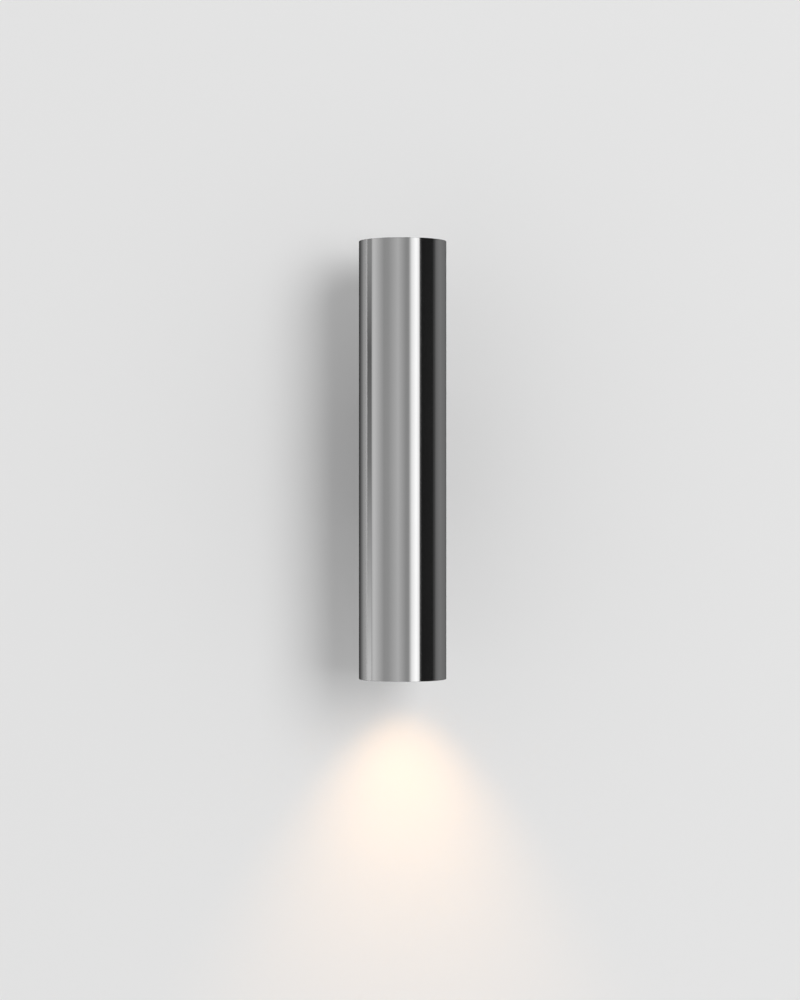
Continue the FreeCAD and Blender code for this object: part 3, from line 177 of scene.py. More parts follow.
class FinishSettings(bpy.types.PropertyGroup):
    """Colours a user would change."""

    steel: tint("Steel", "Colour of the polished tube", (0.50, 0.50, 0.50))
    casting: tint("Casting", "Colour of the canopy, cap and collar", (0.50, 0.50, 0.505))
    ring: tint("Glare ring", "Colour of the anodised ring", (0.011, 0.011, 0.0115))
    lamp_light: tint("Lamp light", "Colour of the lamp's light", (1.0, 0.57, 0.22))
    lamp_power: power("Lamp power", "Power of the lamp's light", 1.90)
    beam_depth: length("Beam depth", "How far the beam's point lies above the tube's lower rim", 64.0)
    beam_angle: angle("Beam", "Full angle of the lamp's beam", 70)
    beam_blend: FloatProperty(
        name="Beam edge", description="Softness of the beam's edge", default=1.0, min=0, max=1)


class StudioSettings(bpy.types.PropertyGroup):
    """Wall, light and camera."""

    wall: tint("Wall", "Colour of the wall", (0.792, 0.792, 0.792))
    wall_size: length("Wall size", "Side of the wall", 4000.0)
    cover_width: length("Cover width", "Half the width of the wall that the canopy always covers", 20.0)
    cover_height: length(
        "Cover height", "Half the height of the wall that the canopy always covers", 45.0)
    background: tint("Background", "Colour seen beyond the wall", (0.76, 0.76, 0.76))
    fill_facing: number(
        "Fill from the front", "Strength of the soft light that meets the wall squarely", 0.20)
    fill_grazing: number("Fill from the sides", "Strength of the soft light that grazes the wall", 1.36)
    room: number("Room", "Strength of what polished metal mirrors", 2.0)
    key_power: power("Key power", "Power of the main light", 745.0)
    key_azimuth: angle("Key azimuth", "Main light's angle to the right of the wall's normal", 30.5)
    key_elevation: angle("Key elevation", "Main light's angle above the tube's middle", 13)
    key_distance: length("Key distance", "Distance of the main light", 12000.0)
    key_width: length("Key width", "Width of the main light", 6400.0)
    key_height: length("Key height", "Height of the main light", 9600.0)
    camera_distance: length("Camera distance", "Camera to the tube's axis", 1804.0)
    camera_drop: length("Camera drop", "How far the camera is below the tube's middle", 27.3)
    camera_left: length("Camera left", "How far the camera is left of the tube", 1.8)
    focal_length: number("Focal length", "Focal length in millimetres", 94.68)


class LightSettings(bpy.types.PropertyGroup):
    """All settings of the tube light."""

    tube: PointerProperty(name="Tube", description="Sizes of the tube", type=TubeSettings)
    cap: PointerProperty(name="Top cap", description="Sizes of the top cap", type=CapSettings)
    ring: PointerProperty(name="Glare ring", description="Sizes of the glare ring", type=RingSettings)
    optic: PointerProperty(name="Lamp lens", description="Sizes of the lamp's lens", type=OpticSettings)
    seal: PointerProperty(name="Seals", description="Sizes of the seals and grommets", type=SealSettings)
    finish: PointerProperty(name="Finish", description="Colours and the lamp's light", type=FinishSettings)
    studio: PointerProperty(name="Studio", description="Wall, light and camera", type=StudioSettings)


# ---------------------------------------------------------------------------- node helpers
def add_node(tree, kind, inputs=None, **settings):
    """Adds a node, sets its settings, and sets or links its inputs by name or number."""
    made = tree.nodes.new(kind)
    for name, value in settings.items():
        setattr(made, name, value)
    for socket, value in (inputs or {}).items():
        target = made.inputs[socket]
        if isinstance(value, bpy.types.NodeSocket):
            tree.links.new(value, target)
        else:
            target.default_value = value
    return made


def maths(tree, operation, first, second=None):
    """Output of a math node."""
    inputs = {0: first} if second is None else {0: first, 1: second}
    return add_node(tree, "ShaderNodeMath", inputs, operation=operation).outputs[0]


def vectors(tree, operation, first, second=None):
    """Output of a vector math node: a number for a length or a dot product, and else a vector."""
    inputs = {0: first} if second is None else {0: first, 1: second}
    outputs = add_node(tree, "ShaderNodeVectorMath", inputs, operation=operation).outputs
    return outputs["Value"] if operation in ("LENGTH", "DOT_PRODUCT") else outputs[0]


def object_place(tree):
    """Place on the object, in metres."""
    return add_node(tree, "ShaderNodeTexCoord").outputs["Object"]


def new_group(name, inputs, outputs, kind="ShaderNodeTree"):
    """Node group with named sockets. Returns the tree, its input node and its output node."""
    tree = bpy.data.node_groups.new(name, kind)
    for label, socket_type, default in inputs:
        socket = tree.interface.new_socket(label, in_out="INPUT", socket_type=socket_type)
        if default is not None:
            socket.default_value = default
    for label, socket_type in outputs:
        tree.interface.new_socket(label, in_out="OUTPUT", socket_type=socket_type)
    return tree, tree.nodes.new("NodeGroupInput"), tree.nodes.new("NodeGroupOutput")


def noise(tree, vector, scale, detail=2.0, roughness=0.5):
    """Output of a noise texture, from 0 to 1."""
    inputs = {"Vector": vector, "Scale": scale, "Detail": detail, "Roughness": roughness}
    return add_node(tree, "ShaderNodeTexNoise", inputs).outputs["Fac"]


def ranged(tree, value, low, high, to_low, to_high):
    """Value mapped from one range to another, and held inside it."""
    inputs = {"Value": value, "From Min": low, "From Max": high, "To Min": to_low, "To Max": to_high}
    return add_node(tree, "ShaderNodeMapRange", inputs).outputs[0]


# ---------------------------------------------------------------------------- shared effects
def grain_group():
    """Fine even grain, as on castings, foam and mouldings."""
    tree, inside, outside = new_group(
        "Fine grain", [("Scale", "NodeSocketFloat", 2500.0)], [("Height", "NodeSocketFloat")])
    place = object_place(tree)
    fine = noise(tree, place, inside.outputs["Scale"], 3.0, 0.6)
    tree.links.new(fine, outside.inputs["Height"])
    return tree


def streak_group():
    """Fine lines, from noise that is stretched by the given scales along X, Y and Z."""
    tree, inside, outside = new_group(
        "Streaks", [("Stretch", "NodeSocketVector", (3000.0, 3000.0, 20.0))],
        [("Height", "NodeSocketFloat")])
    place = object_place(tree)
    stretched = vectors(tree, "MULTIPLY", place, inside.outputs["Stretch"])
    tree.links.new(noise(tree, stretched, 1.0, 3.0, 0.6), outside.inputs["Height"])
    return tree


def turned_group():
    """Concentric tool marks about the tube's axis, for faces that were turned."""
    tree, inside, outside = new_group(
        "Turned lines", [("Lines per metre", "NodeSocketFloat", 5000.0)], [("Height", "NodeSocketFloat")])
    place = object_place(tree)
    centred = vectors(tree, "SUBTRACT", place, tuple(TUBE_AXIS))
    flat = vectors(tree, "MULTIPLY", centred, (1.0, 1.0, 0.0))
    radius = vectors(tree, "LENGTH", flat)
    height = add_node(tree, "ShaderNodeSeparateXYZ", {0: centred}).outputs["Z"]
    across = maths(tree, "ADD", radius, height)
    spot = add_node(tree, "ShaderNodeCombineXYZ", {"X": maths(tree, "MULTIPLY", across, inside.outputs[0])})
    tree.links.new(noise(tree, spot.outputs[0], 1.0, 2.0, 0.7), outside.inputs["Height"])
    return tree


def marks_group():
    """Faint smudges from hands and cloths, from 0 to 1."""
    tree, inside, outside = new_group(
        "Handling marks", [("Scale", "NodeSocketFloat", 14.0)], [("Mask", "NodeSocketFloat")])
    place = object_place(tree)
    broad = noise(tree, place, inside.outputs["Scale"], 4.0, 0.55)
    bent = vectors(tree, "MULTIPLY", place, (1.0, 1.0, 0.35))
    small = noise(tree, bent, maths(tree, "MULTIPLY", inside.outputs["Scale"], 7.0), 3.0, 0.6)
    both = maths(
        tree, "MULTIPLY", ranged(tree, broad, 0.35, 0.7, 0.0, 1.0), ranged(tree, small, 0.3, 0.7, 0.4, 1.0))
    tree.links.new(both, outside.inputs["Mask"])
    return tree


def wear_group():
    """Mask of the outer edges, where a finish rubs thin."""
    tree, inside, outside = new_group(
        "Edge wear", [("Width", "NodeSocketFloat", 0.4 * MM), ("Breakup", "NodeSocketFloat", 900.0)],
        [("Mask", "NodeSocketFloat")])
    soft = add_node(tree, "ShaderNodeBevel", {"Radius": inside.outputs["Width"]}, samples=4).outputs[0]
    true = add_node(tree, "ShaderNodeNewGeometry").outputs["True Normal"]
    same = vectors(tree, "DOT_PRODUCT", soft, true)
    edge = ranged(tree, same, 0.98, 0.8, 0.0, 1.0)
    place = object_place(tree)
    broken = ranged(tree, noise(tree, place, inside.outputs["Breakup"], 3.0, 0.6), 0.4, 0.6, 0.2, 1.0)
    tree.links.new(maths(tree, "MULTIPLY", edge, broken), outside.inputs["Mask"])
    return tree


def dust_group():
    """Dust that settles on faces that look up."""
    tree, inside, outside = new_group(
        "Dust", [("Amount", "NodeSocketFloat", 0.3)], [("Mask", "NodeSocketFloat")])
    normal = add_node(tree, "ShaderNodeNewGeometry").outputs["Normal"]
    up = add_node(tree, "ShaderNodeSeparateXYZ", {0: normal}).outputs["Z"]
    place = object_place(tree)
    specks = ranged(tree, noise(tree, place, 1800.0, 4.0, 0.7), 0.5, 0.75, 0.25, 1.0)
    settled = maths(tree, "MULTIPLY", ranged(tree, up, 0.5, 1.0, 0.0, 1.0), specks)
    tree.links.new(maths(tree, "MULTIPLY", settled, inside.outputs["Amount"]), outside.inputs["Mask"])
    return tree


# Shared effects, by name
EFFECTS = {}


def effect(tree, name, inputs=None):
    """Places a shared effect in a material and returns its output."""
    placed = add_node(tree, "ShaderNodeGroup", node_tree=EFFECTS[name])
    for socket, value in (inputs or {}).items():
        placed.inputs[socket].default_value = value
    return placed.outputs[0]


# ---------------------------------------------------------------------------- materials
def blank_material(name):
    """Material with only an output node. Returns the material, its tree and its output."""
    material = bpy.data.materials.new(name)
    material.use_nodes = True
    tree = material.node_tree
    tree.nodes.clear()
    return material, tree, tree.nodes.new("ShaderNodeOutputMaterial")


def surface(name, colour, metallic=0.0, roughness=0.5, **more):
    """Material with one Principled shader. Returns the material, its tree and the shader."""
    material, tree, out = blank_material(name)
    shader = add_node(tree, "ShaderNodeBsdfPrincipled")
    shader.inputs["Base Color"].default_value = (*colour, 1.0)
    shader.inputs["Metallic"].default_value = metallic
    shader.inputs["Roughness"].default_value = roughness
    for socket, value in more.items():
        shader.inputs[socket.replace("_", " ")].default_value = value
    tree.links.new(shader.outputs[0], out.inputs["Surface"])
    return material, tree, shader


def shade(tree, shader, mask, colour, other):
    """Base colour that goes from one colour to another with a mask."""
    mixed = add_node(tree, "ShaderNodeMix", {0: mask}, data_type="RGBA")
    mixed.inputs[6].default_value = (*colour, 1.0)
    mixed.inputs[7].default_value = (*other, 1.0)
    tree.links.new(mixed.outputs[2], shader.inputs["Base Color"])


def roughen(tree, shader, mask, low, high):
    """Roughness that goes from low to high with a mask."""
    tree.links.new(ranged(tree, mask, 0.0, 1.0, low, high), shader.inputs["Roughness"])


def relief(tree, shader, height, distance, strength=1.0):
    """Bump from a height, with its depth in metres."""
    bump = add_node(tree, "ShaderNodeBump", {"Height": height, "Distance": distance, "Strength": strength})
    tree.links.new(bump.outputs[0], shader.inputs["Normal"])


def lighter(colour, factor):
    """A colour made lighter or darker."""
    return tuple(min(1.0, part * factor) for part in colour)


def polished_steel(finish):
    """Mirror-polished stainless steel, with faint polishing lines round the tube and light smudges."""
    colour = tuple(finish.steel)
    material, tree, shader = surface("polished_steel", colour, 1.0, 0.1)
    marks = effect(tree, "Handling marks", {"Scale": 16.0})
    shade(tree, shader, marks, colour, lighter(colour, 0.97))
    lines = effect(tree, "Streaks", {"Stretch": (60.0, 60.0, 9000.0)})
    haze = maths(tree, "ADD", maths(tree, "MULTIPLY", marks, 0.5), maths(tree, "MULTIPLY", lines, 0.5))
    roughen(tree, shader, haze, 0.05, 0.11)
    relief(tree, shader, lines, 0.4e-6)
    return material


def cast_aluminium(finish):
    """Satin casting: fine blasted grain, with edges rubbed a little brighter."""
    colour = tuple(finish.casting)
    material, tree, shader = surface("satin_casting", colour, 1.0, 0.38)
    wear = effect(tree, "Edge wear", {"Width": 0.35 * MM})
    shade(tree, shader, wear, colour, lighter(colour, 1.25))
    roughen(tree, shader, effect(tree, "Handling marks", {"Scale": 22.0}), 0.34, 0.44)
    relief(tree, shader, effect(tree, "Fine grain", {"Scale": 4200.0}), 12e-6)
    return material


def turned_aluminium(finish):
    """Turned aluminium, with concentric tool marks and a little dust on top."""
    colour = tuple(finish.casting)
    material, tree, shader = surface("turned_aluminium", colour, 1.0, 0.3)
    dust = effect(tree, "Dust", {"Amount": 0.12})
    shade(tree, shader, dust, colour, (0.55, 0.54, 0.52))
    roughen(tree, shader, effect(tree, "Turned lines"), 0.22, 0.36)
    relief(tree, shader, effect(tree, "Turned lines"), 5e-6)
    return material


def anodised_black(finish):
    """Matt black anodising over turned aluminium."""
    colour = tuple(finish.ring)
    material, tree, shader = surface("black_anodised", colour, 0.0, 0.5, Specular_IOR_Level=0.35)
    wear = effect(tree, "Edge wear", {"Width": 0.2 * MM})
    shade(tree, shader, wear, colour, lighter(colour, 3.0))
    roughen(tree, shader, effect(tree, "Turned lines"), 0.42, 0.58)
    relief(tree, shader, effect(tree, "Turned lines"), 4e-6)
    return material


def zinc_steel(finish):
    """Zinc-plated steel: a pale bluish metal with large faint crystals."""
    colour = (0.56, 0.58, 0.61)
    material, tree, shader = surface("zinc_steel", colour, 1.0, 0.36)
    place = object_place(tree)
    spangle = add_node(tree, "ShaderNodeTexVoronoi", {"Vector": place, "Scale": 420.0})
    tone = add_node(tree, "ShaderNodeSeparateColor", {0: spangle.outputs["Color"]}).outputs[0]
    shade(tree, shader, tone, colour, (0.525, 0.55, 0.59))
    roughen(tree, shader, tone, 0.32, 0.42)
    relief(tree, shader, effect(tree, "Fine grain", {"Scale": 3000.0}), 6e-6)
    return material


def black_oxide(finish):
    """Black oxide on a steel set screw."""
    colour = (0.045, 0.045, 0.05)
    material, tree, shader = surface("black_oxide", colour, 1.0, 0.35)
    wear = effect(tree, "Edge wear", {"Width": 0.15 * MM, "Breakup": 2500.0})
    shade(tree, shader, wear, colour, (0.25, 0.25, 0.26))
    relief(tree, shader, effect(tree, "Fine grain", {"Scale": 6000.0}), 4e-6)
    return material


def moulding(name, colour, roughness, scale, depth):
    """Moulded plastic or rubber with a fine texture and slight colour variation."""
    material, tree, shader = surface(name, colour, 0.0, roughness)
    marks = effect(tree, "Handling marks", {"Scale": 40.0})
    shade(tree, shader, marks, colour, lighter(colour, 1.18))
    roughen(tree, shader, marks, roughness - 0.05, roughness + 0.05)
    relief(tree, shader, effect(tree, "Fine grain", {"Scale": scale}), depth)
    return material


def bright_metal(name, colour, roughness, streak):
    """Drawn or turned metal with fine lines."""
    material, tree, shader = surface(name, colour, 1.0, roughness)
    lines = effect(tree, "Streaks", {"Stretch": streak})
    shade(tree, shader, lines, colour, lighter(colour, 0.86))
    roughen(tree, shader, lines, roughness - 0.06, roughness + 0.08)
    relief(tree, shader, lines, 3e-6)
    return material


def insulation(name, colour, stripe=None):
    """Silicone insulation of a wire, in one colour or in two halves."""
    material, tree, shader = surface(name, colour, 0.0, 0.45)
    if stripe:
        place = object_place(tree)
        parts = add_node(tree, "ShaderNodeSeparateXYZ", {0: place}).outputs
        side = ranged(tree, parts["X"], -0.25 * MM, 0.25 * MM, 0.0, 1.0)
        shade(tree, shader, side, colour, stripe)
    else:
        shade(tree, shader, effect(tree, "Handling marks", {"Scale": 60.0}), colour, lighter(colour, 1.2))
    relief(tree, shader, effect(tree, "Fine grain", {"Scale": 3000.0}), 5e-6)
    return material


def ceramic(finish):
    """Unglazed ceramic with faint specks."""
    colour = (0.78, 0.76, 0.71)
    material, tree, shader = surface("ceramic", colour, 0.0, 0.6)
    place = object_place(tree)
    specks = ranged(tree, noise(tree, place, 900.0, 2.0, 0.5), 0.66, 0.72, 0.0, 1.0)
    shade(tree, shader, specks, colour, (0.55, 0.52, 0.47))
    relief(tree, shader, effect(tree, "Fine grain", {"Scale": 2200.0}), 14e-6)
    return material


def circuit_board(finish):
    """Green driver board with darker tracks."""
    colour = (0.02, 0.14, 0.05)
    material, tree, shader = surface("circuit_board", colour, 0.0, 0.35)
    place = object_place(tree)
    cells = add_node(tree, "ShaderNodeTexBrick", {"Vector": place, "Scale": 260.0}).outputs["Fac"]
    shade(tree, shader, cells, colour, (0.05, 0.24, 0.09))
    relief(tree, shader, cells, 15e-6)
    return material


def clear(name, colour, roughness, index, waviness):
    """Clear glass or plastic. Lamps shine through it without a hard shadow."""
    material, tree, out = blank_material(name)
    shader = add_node(tree, "ShaderNodeBsdfPrincipled")
    shader.inputs["Base Color"].default_value = (*colour, 1.0)
    shader.inputs["Roughness"].default_value = roughness
    shader.inputs["IOR"].default_value = index
    shader.inputs["Transmission Weight"].default_value = 1.0
    relief(tree, shader, effect(tree, "Fine grain", {"Scale": 160.0}), waviness)
    shadow = add_node(tree, "ShaderNodeLightPath").outputs["Is Shadow Ray"]
    open_way = add_node(tree, "ShaderNodeBsdfTransparent", {"Color": (0.95, 0.95, 0.95, 1.0)})
    both = add_node(tree, "ShaderNodeMixShader", {0: shadow, 1: shader.outputs[0], 2: open_way.outputs[0]})
    tree.links.new(both.outputs[0], out.inputs["Surface"])
    return material


def cover_glass(finish):
    """Toughened clear glass."""
    return clear("cover_glass", (0.97, 0.985, 0.98), 0.01, 1.5, 2e-6)


def lens_plastic(finish):
    """Clear lens plastic."""
    return clear("lens_plastic", (0.99, 0.99, 0.98), 0.03, 1.49, 3e-6)


def led_yellow(finish):
    """Warm light source: a yellow phosphor disc with a grid of chips that shine a little brighter."""
    material, tree, shader = surface("light_source", (0.9, 0.72, 0.25), 0.0, 0.5)
    place = object_place(tree)
    chips = add_node(tree, "ShaderNodeTexVoronoi", {"Vector": place, "Scale": 900.0}, distance="CHEBYCHEV")
    glow = add_node(tree, "ShaderNodeMix", {0: chips.outputs["Distance"]}, data_type="RGBA")
    warm = tuple(finish.lamp_light)
    glow.inputs[6].default_value = (1.0, (1 + warm[1]) / 2, (1 + 2 * warm[2]) / 2, 1.0)
    glow.inputs[7].default_value = (1.0, (1 + warm[1]) / 2.3, warm[2] * 2, 1.0)
    tree.links.new(glow.outputs[2], shader.inputs["Emission Color"])
    shader.inputs["Emission Strength"].default_value = 10.0
    return material


# Finishes that have a function of their own, by slot
FINISHES = {
    "tube": polished_steel,
    "satin_aluminium": turned_aluminium,
    "black_anodised": anodised_black,
    "zinc_steel": zinc_steel,
    "black_steel": black_oxide,
    "ceramic": ceramic,
    "lamp_lens": lens_plastic,
    "led": led_yellow,
    "driver_board": circuit_board,
    "glass": cover_glass,
}
# Moulded pieces, by slot: name, colour, roughness, and the scale and depth of their texture
MOULDINGS = {
    "black_rubber": ("black_rubber", (0.022, 0.022, 0.022), 0.72, 3000.0, 14e-6),
    "foam": ("wall_foam", (0.055, 0.055, 0.057), 0.92, 1600.0, 90e-6),
    "silicone": ("silicone", (0.62, 0.61, 0.59), 0.5, 1200.0, 5e-6),
    "nylon": ("nylon", (0.74, 0.72, 0.66), 0.45, 2600.0, 8e-6),
    "black_plastic": ("black_plastic", (0.03, 0.03, 0.032), 0.5, 3200.0, 9e-6),
    "lamp_white": ("lamp_white", (0.80, 0.80, 0.79), 0.35, 2400.0, 4e-6),
    "lamp_base_plastic": ("lamp_base_plastic", (0.76, 0.76, 0.74), 0.4, 2400.0, 6e-6),
    "led_board": ("board_white", (0.78, 0.78, 0.78), 0.4, 3000.0, 4e-6),
}
# Drawn and turned metals, by slot: name, colour, roughness, and how close their lines are along X, Y and Z
METALS = {
    "brass": ("brass", (0.80, 0.58, 0.27), 0.24, (2500.0, 2500.0, 60.0)),
    "tinned_brass": ("nickel", (0.62, 0.61, 0.58), 0.2, (2500.0, 2500.0, 60.0)),
    "copper": ("copper", (0.80, 0.42, 0.28), 0.3, (7000.0, 7000.0, 200.0)),
}
# Wires, by slot: name and one or two colours
WIRES = {
    "brown_insulation": ("brown_insulation", (0.15, 0.055, 0.025)),
    "blue_insulation": ("blue_insulation", (0.03, 0.12, 0.42)),
    "earth_insulation": ("earth_insulation", (0.05, 0.30, 0.07), (0.75, 0.62, 0.03)),
}
# Nodes whose finish differs from their slot's
FINISH_OF_NODE = {"canopy": cast_aluminium}
# Finished materials, by slot
MATERIALS = {}


# ---------------------------------------------------------------------------- shapes
def turned_mesh(name, outline, centre, axis, steps):
    """Closed solid of revolution from a closed outline of (radius, height) pairs. Axis is "Y" or "Z"."""
    shape = bmesh.new()
    rings = []
    for radius, height in outline:
        count = steps if radius > 0 else 1
        ring = []
        for step in range(count):
            turn = 2 * math.pi * step / steps
            side, depth = radius * math.cos(turn), radius * math.sin(turn)
            place = (side, depth, height) if axis == "Z" else (side, height, depth)
            ring.append(shape.verts.new(Vector(place) + centre))
        rings.append(ring)
    for number, ring in enumerate(rings):
        following = rings[(number + 1) % len(rings)]
        if len(ring) == 1 and len(following) == 1:
            continue
        for step in range(steps):
            after = (step + 1) % steps
            corners = [ring[step % len(ring)], ring[after % len(ring)]]
            corners += [following[after % len(following)], following[step % len(following)]]
            shape.faces.new(list(dict.fromkeys(corners)))
    bmesh.ops.recalc_face_normals(shape, faces=shape.faces)
    mesh = bpy.data.meshes.new(name)
    shape.to_mesh(mesh)
    shape.free()
    soften(mesh)
    return mesh


def soften(mesh):
    """Smooth shading, with sharp edges kept."""
    mesh.shade_smooth()
    mesh.set_sharp_from_angle(angle=SHARP_ANGLE)


def rounded(corners, radius, steps=4):
    """Outline with each corner rounded. Corners are (radius, height) pairs in order."""
    outline = []
    for number, corner in enumerate(corners):
        here = Vector(corner)
        before = (Vector(corners[number - 1]) - here).normalized()
        after = (Vector(corners[(number + 1) % len(corners)]) - here).normalized()
        if here.x == 0:
            outline.append(tuple(here))
            continue
        for step in range(steps + 1):
            share = step / steps
            lean = before * (1 - share) ** 2 + after * share ** 2
            outline.append(tuple(here + lean * radius))
    return outline


def new_piece(name, mesh, material, body, nodes):
    """Object that stands for CAD nodes and rides on their body."""
    piece = bpy.data.objects.new(name, mesh)
    bpy.context.scene.collection.objects.link(piece)
    piece.data.materials.clear()
    piece.data.materials.append(material)
    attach(piece, body)
    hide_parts(*nodes)
    return piece


def grown_mesh(name, tree, values, base=None):
    """Plain mesh that a geometry node tree makes from named values and an optional base mesh."""
    carrier = bpy.data.objects.new(name, base or bpy.data.meshes.new(name))
    bpy.context.scene.collection.objects.link(carrier)
    modifier = carrier.modifiers.new("rule", "NODES")
    modifier.node_group = tree
    for item in tree.interface.items_tree:
        if item.item_type == "SOCKET" and item.in_out == "INPUT" and item.name in values:
            modifier[item.identifier] = values[item.name]
    graph = bpy.context.evaluated_depsgraph_get()
    mesh = bpy.data.meshes.new_from_object(carrier.evaluated_get(graph), depsgraph=graph)
    carrier.modifiers.remove(modifier)
    bpy.data.objects.remove(carrier)
    mesh.name = name
    return mesh


def finish_tree(tree, geometry, outside, material):
    """Ends a geometry tree: smooth shading with sharp edges kept, real geometry and its material."""
    smooth = add_node(tree, "GeometryNodeSetShadeSmooth", {"Geometry": geometry}, domain="FACE")
    angle = add_node(tree, "GeometryNodeInputMeshEdgeAngle").outputs["Unsigned Angle"]
    sharp = add_node(
        tree, "FunctionNodeCompare", {0: angle, 1: SHARP_ANGLE}, data_type="FLOAT",
        operation="GREATER_THAN").outputs[0]
    inputs = {"Geometry": smooth.outputs[0], "Selection": sharp, "Shade Smooth": False}
    edges = add_node(tree, "GeometryNodeSetShadeSmooth", inputs, domain="EDGE")
    real = add_node(tree, "GeometryNodeRealizeInstances", {"Geometry": edges.outputs[0]})
    painted = add_node(tree, "GeometryNodeSetMaterial", {"Geometry": real.outputs[0], "Material": material})
    tree.links.new(painted.outputs[0], outside.inputs[0])


def moved(tree, geometry, place, turn=None):
    """Geometry moved by a vector and turned by Euler angles."""
    inputs = {"Geometry": geometry, "Translation": place}
    if turn is not None:
        inputs["Rotation"] = turn
    return add_node(tree, "GeometryNodeTransform", inputs).outputs[0]


def combined(tree, x=0.0, y=0.0, z=0.0):
    """Vector from three numbers."""
    return add_node(tree, "ShaderNodeCombineXYZ", {"X": x, "Y": y, "Z": z}).outputs[0]


def rule_tree(name, sizes, counts=()):
    """Geometry tree whose inputs are a base mesh, named sizes, counts and a place."""
    inputs = [("Geometry", "NodeSocketGeometry", None)]
    inputs += [(label, "NodeSocketFloat", 0.01) for label in sizes]
    inputs += [(label, "NodeSocketInt", count) for label, count in counts]
    inputs += [("Place", "NodeSocketVector", (0.0, 0.0, 0.0))]
    return new_group(name, inputs, [("Geometry", "NodeSocketGeometry")], "GeometryNodeTree")


def tube_tree(material):
    """Tree of the tube: a chamfered wall section swept round a circle, with three holes in its back."""
    tree, inside, outside = rule_tree(
        "Tube by rule", ["Radius", "Wall", "Length", "Chamfer", "Cable hole", "Screw hole", "Screw height"],
        [("Segments", 256)])
    given = inside.outputs
    section = add_node(
        tree, "GeometryNodeCurvePrimitiveQuadrilateral", {"Width": given["Wall"], "Height": given["Length"]})
    cuts = 11  # in each side of the section
    bands = add_node(tree, "GeometryNodeSubdivideCurve", {"Curve": section.outputs[0], "Cuts": cuts})
    corner = add_node(tree, "GeometryNodeInputIndex").outputs[0]
    remainder = maths(tree, "MODULO", corner, float(cuts + 1))
    is_corner = add_node(
        tree, "FunctionNodeCompare", {0: remainder, 1: 0.5}, data_type="FLOAT",
        operation="LESS_THAN").outputs[0]
    radius = maths(tree, "MULTIPLY", is_corner, given["Chamfer"])
    bevelled = add_node(
        tree, "GeometryNodeFilletCurve",
        {"Curve": bands.outputs[0], "Radius": radius, "Count": 1, "Limit Radius": True}, mode="POLY")
    middle = maths(tree, "SUBTRACT", given["Radius"], maths(tree, "MULTIPLY", given["Wall"], 0.5))
    circle = add_node(
        tree, "GeometryNodeCurvePrimitiveCircle", {"Resolution": given["Segments"], "Radius": middle})
    swept = add_node(
        tree, "GeometryNodeCurveToMesh", {"Curve": circle.outputs[0], "Profile Curve": bevelled.outputs[0]})
    drill = maths(tree, "MULTIPLY", given["Wall"], 4.0)
    quarter = (math.pi / 2, 0.0, 0.0)
    wide = add_node(
        tree, "GeometryNodeMeshCylinder", {"Vertices": 64, "Radius": given["Cable hole"], "Depth": drill})
    narrow = add_node(
        tree, "GeometryNodeMeshCylinder", {"Vertices": 32, "Radius": given["Screw hole"], "Depth": drill})
    low = maths(tree, "MULTIPLY", given["Screw height"], -1.0)
    spacing = maths(tree, "MULTIPLY", given["Screw height"], 2.0)
    holes = add_node(
        tree, "GeometryNodeMeshLine",
        {"Count": 2, "Start Location": combined(tree, z=low), "Offset": combined(tree, z=spacing)})
    turned = moved(tree, narrow.outputs[0], (0.0, 0.0, 0.0), quarter)
    pair = add_node(tree, "GeometryNodeInstanceOnPoints", {"Points": holes.outputs[0], "Instance": turned})
    real = add_node(tree, "GeometryNodeRealizeInstances", {"Geometry": pair.outputs[0]})
    cutters = add_node(tree, "GeometryNodeJoinGeometry")
    tree.links.new(moved(tree, wide.outputs[0], (0.0, 0.0, 0.0), quarter), cutters.inputs[0])
    tree.links.new(real.outputs[0], cutters.inputs[0])
    back = moved(tree, cutters.outputs[0], combined(tree, y=middle))
    drilled = add_node(tree, "GeometryNodeMeshBoolean", operation="DIFFERENCE", solver="EXACT")
    tree.links.new(swept.outputs[0], drilled.inputs["Mesh 1"])
    tree.links.new(back, drilled.inputs["Mesh 2"])
    finish_tree(tree, moved(tree, drilled.outputs[0], given["Place"]), outside, material)
    return tree


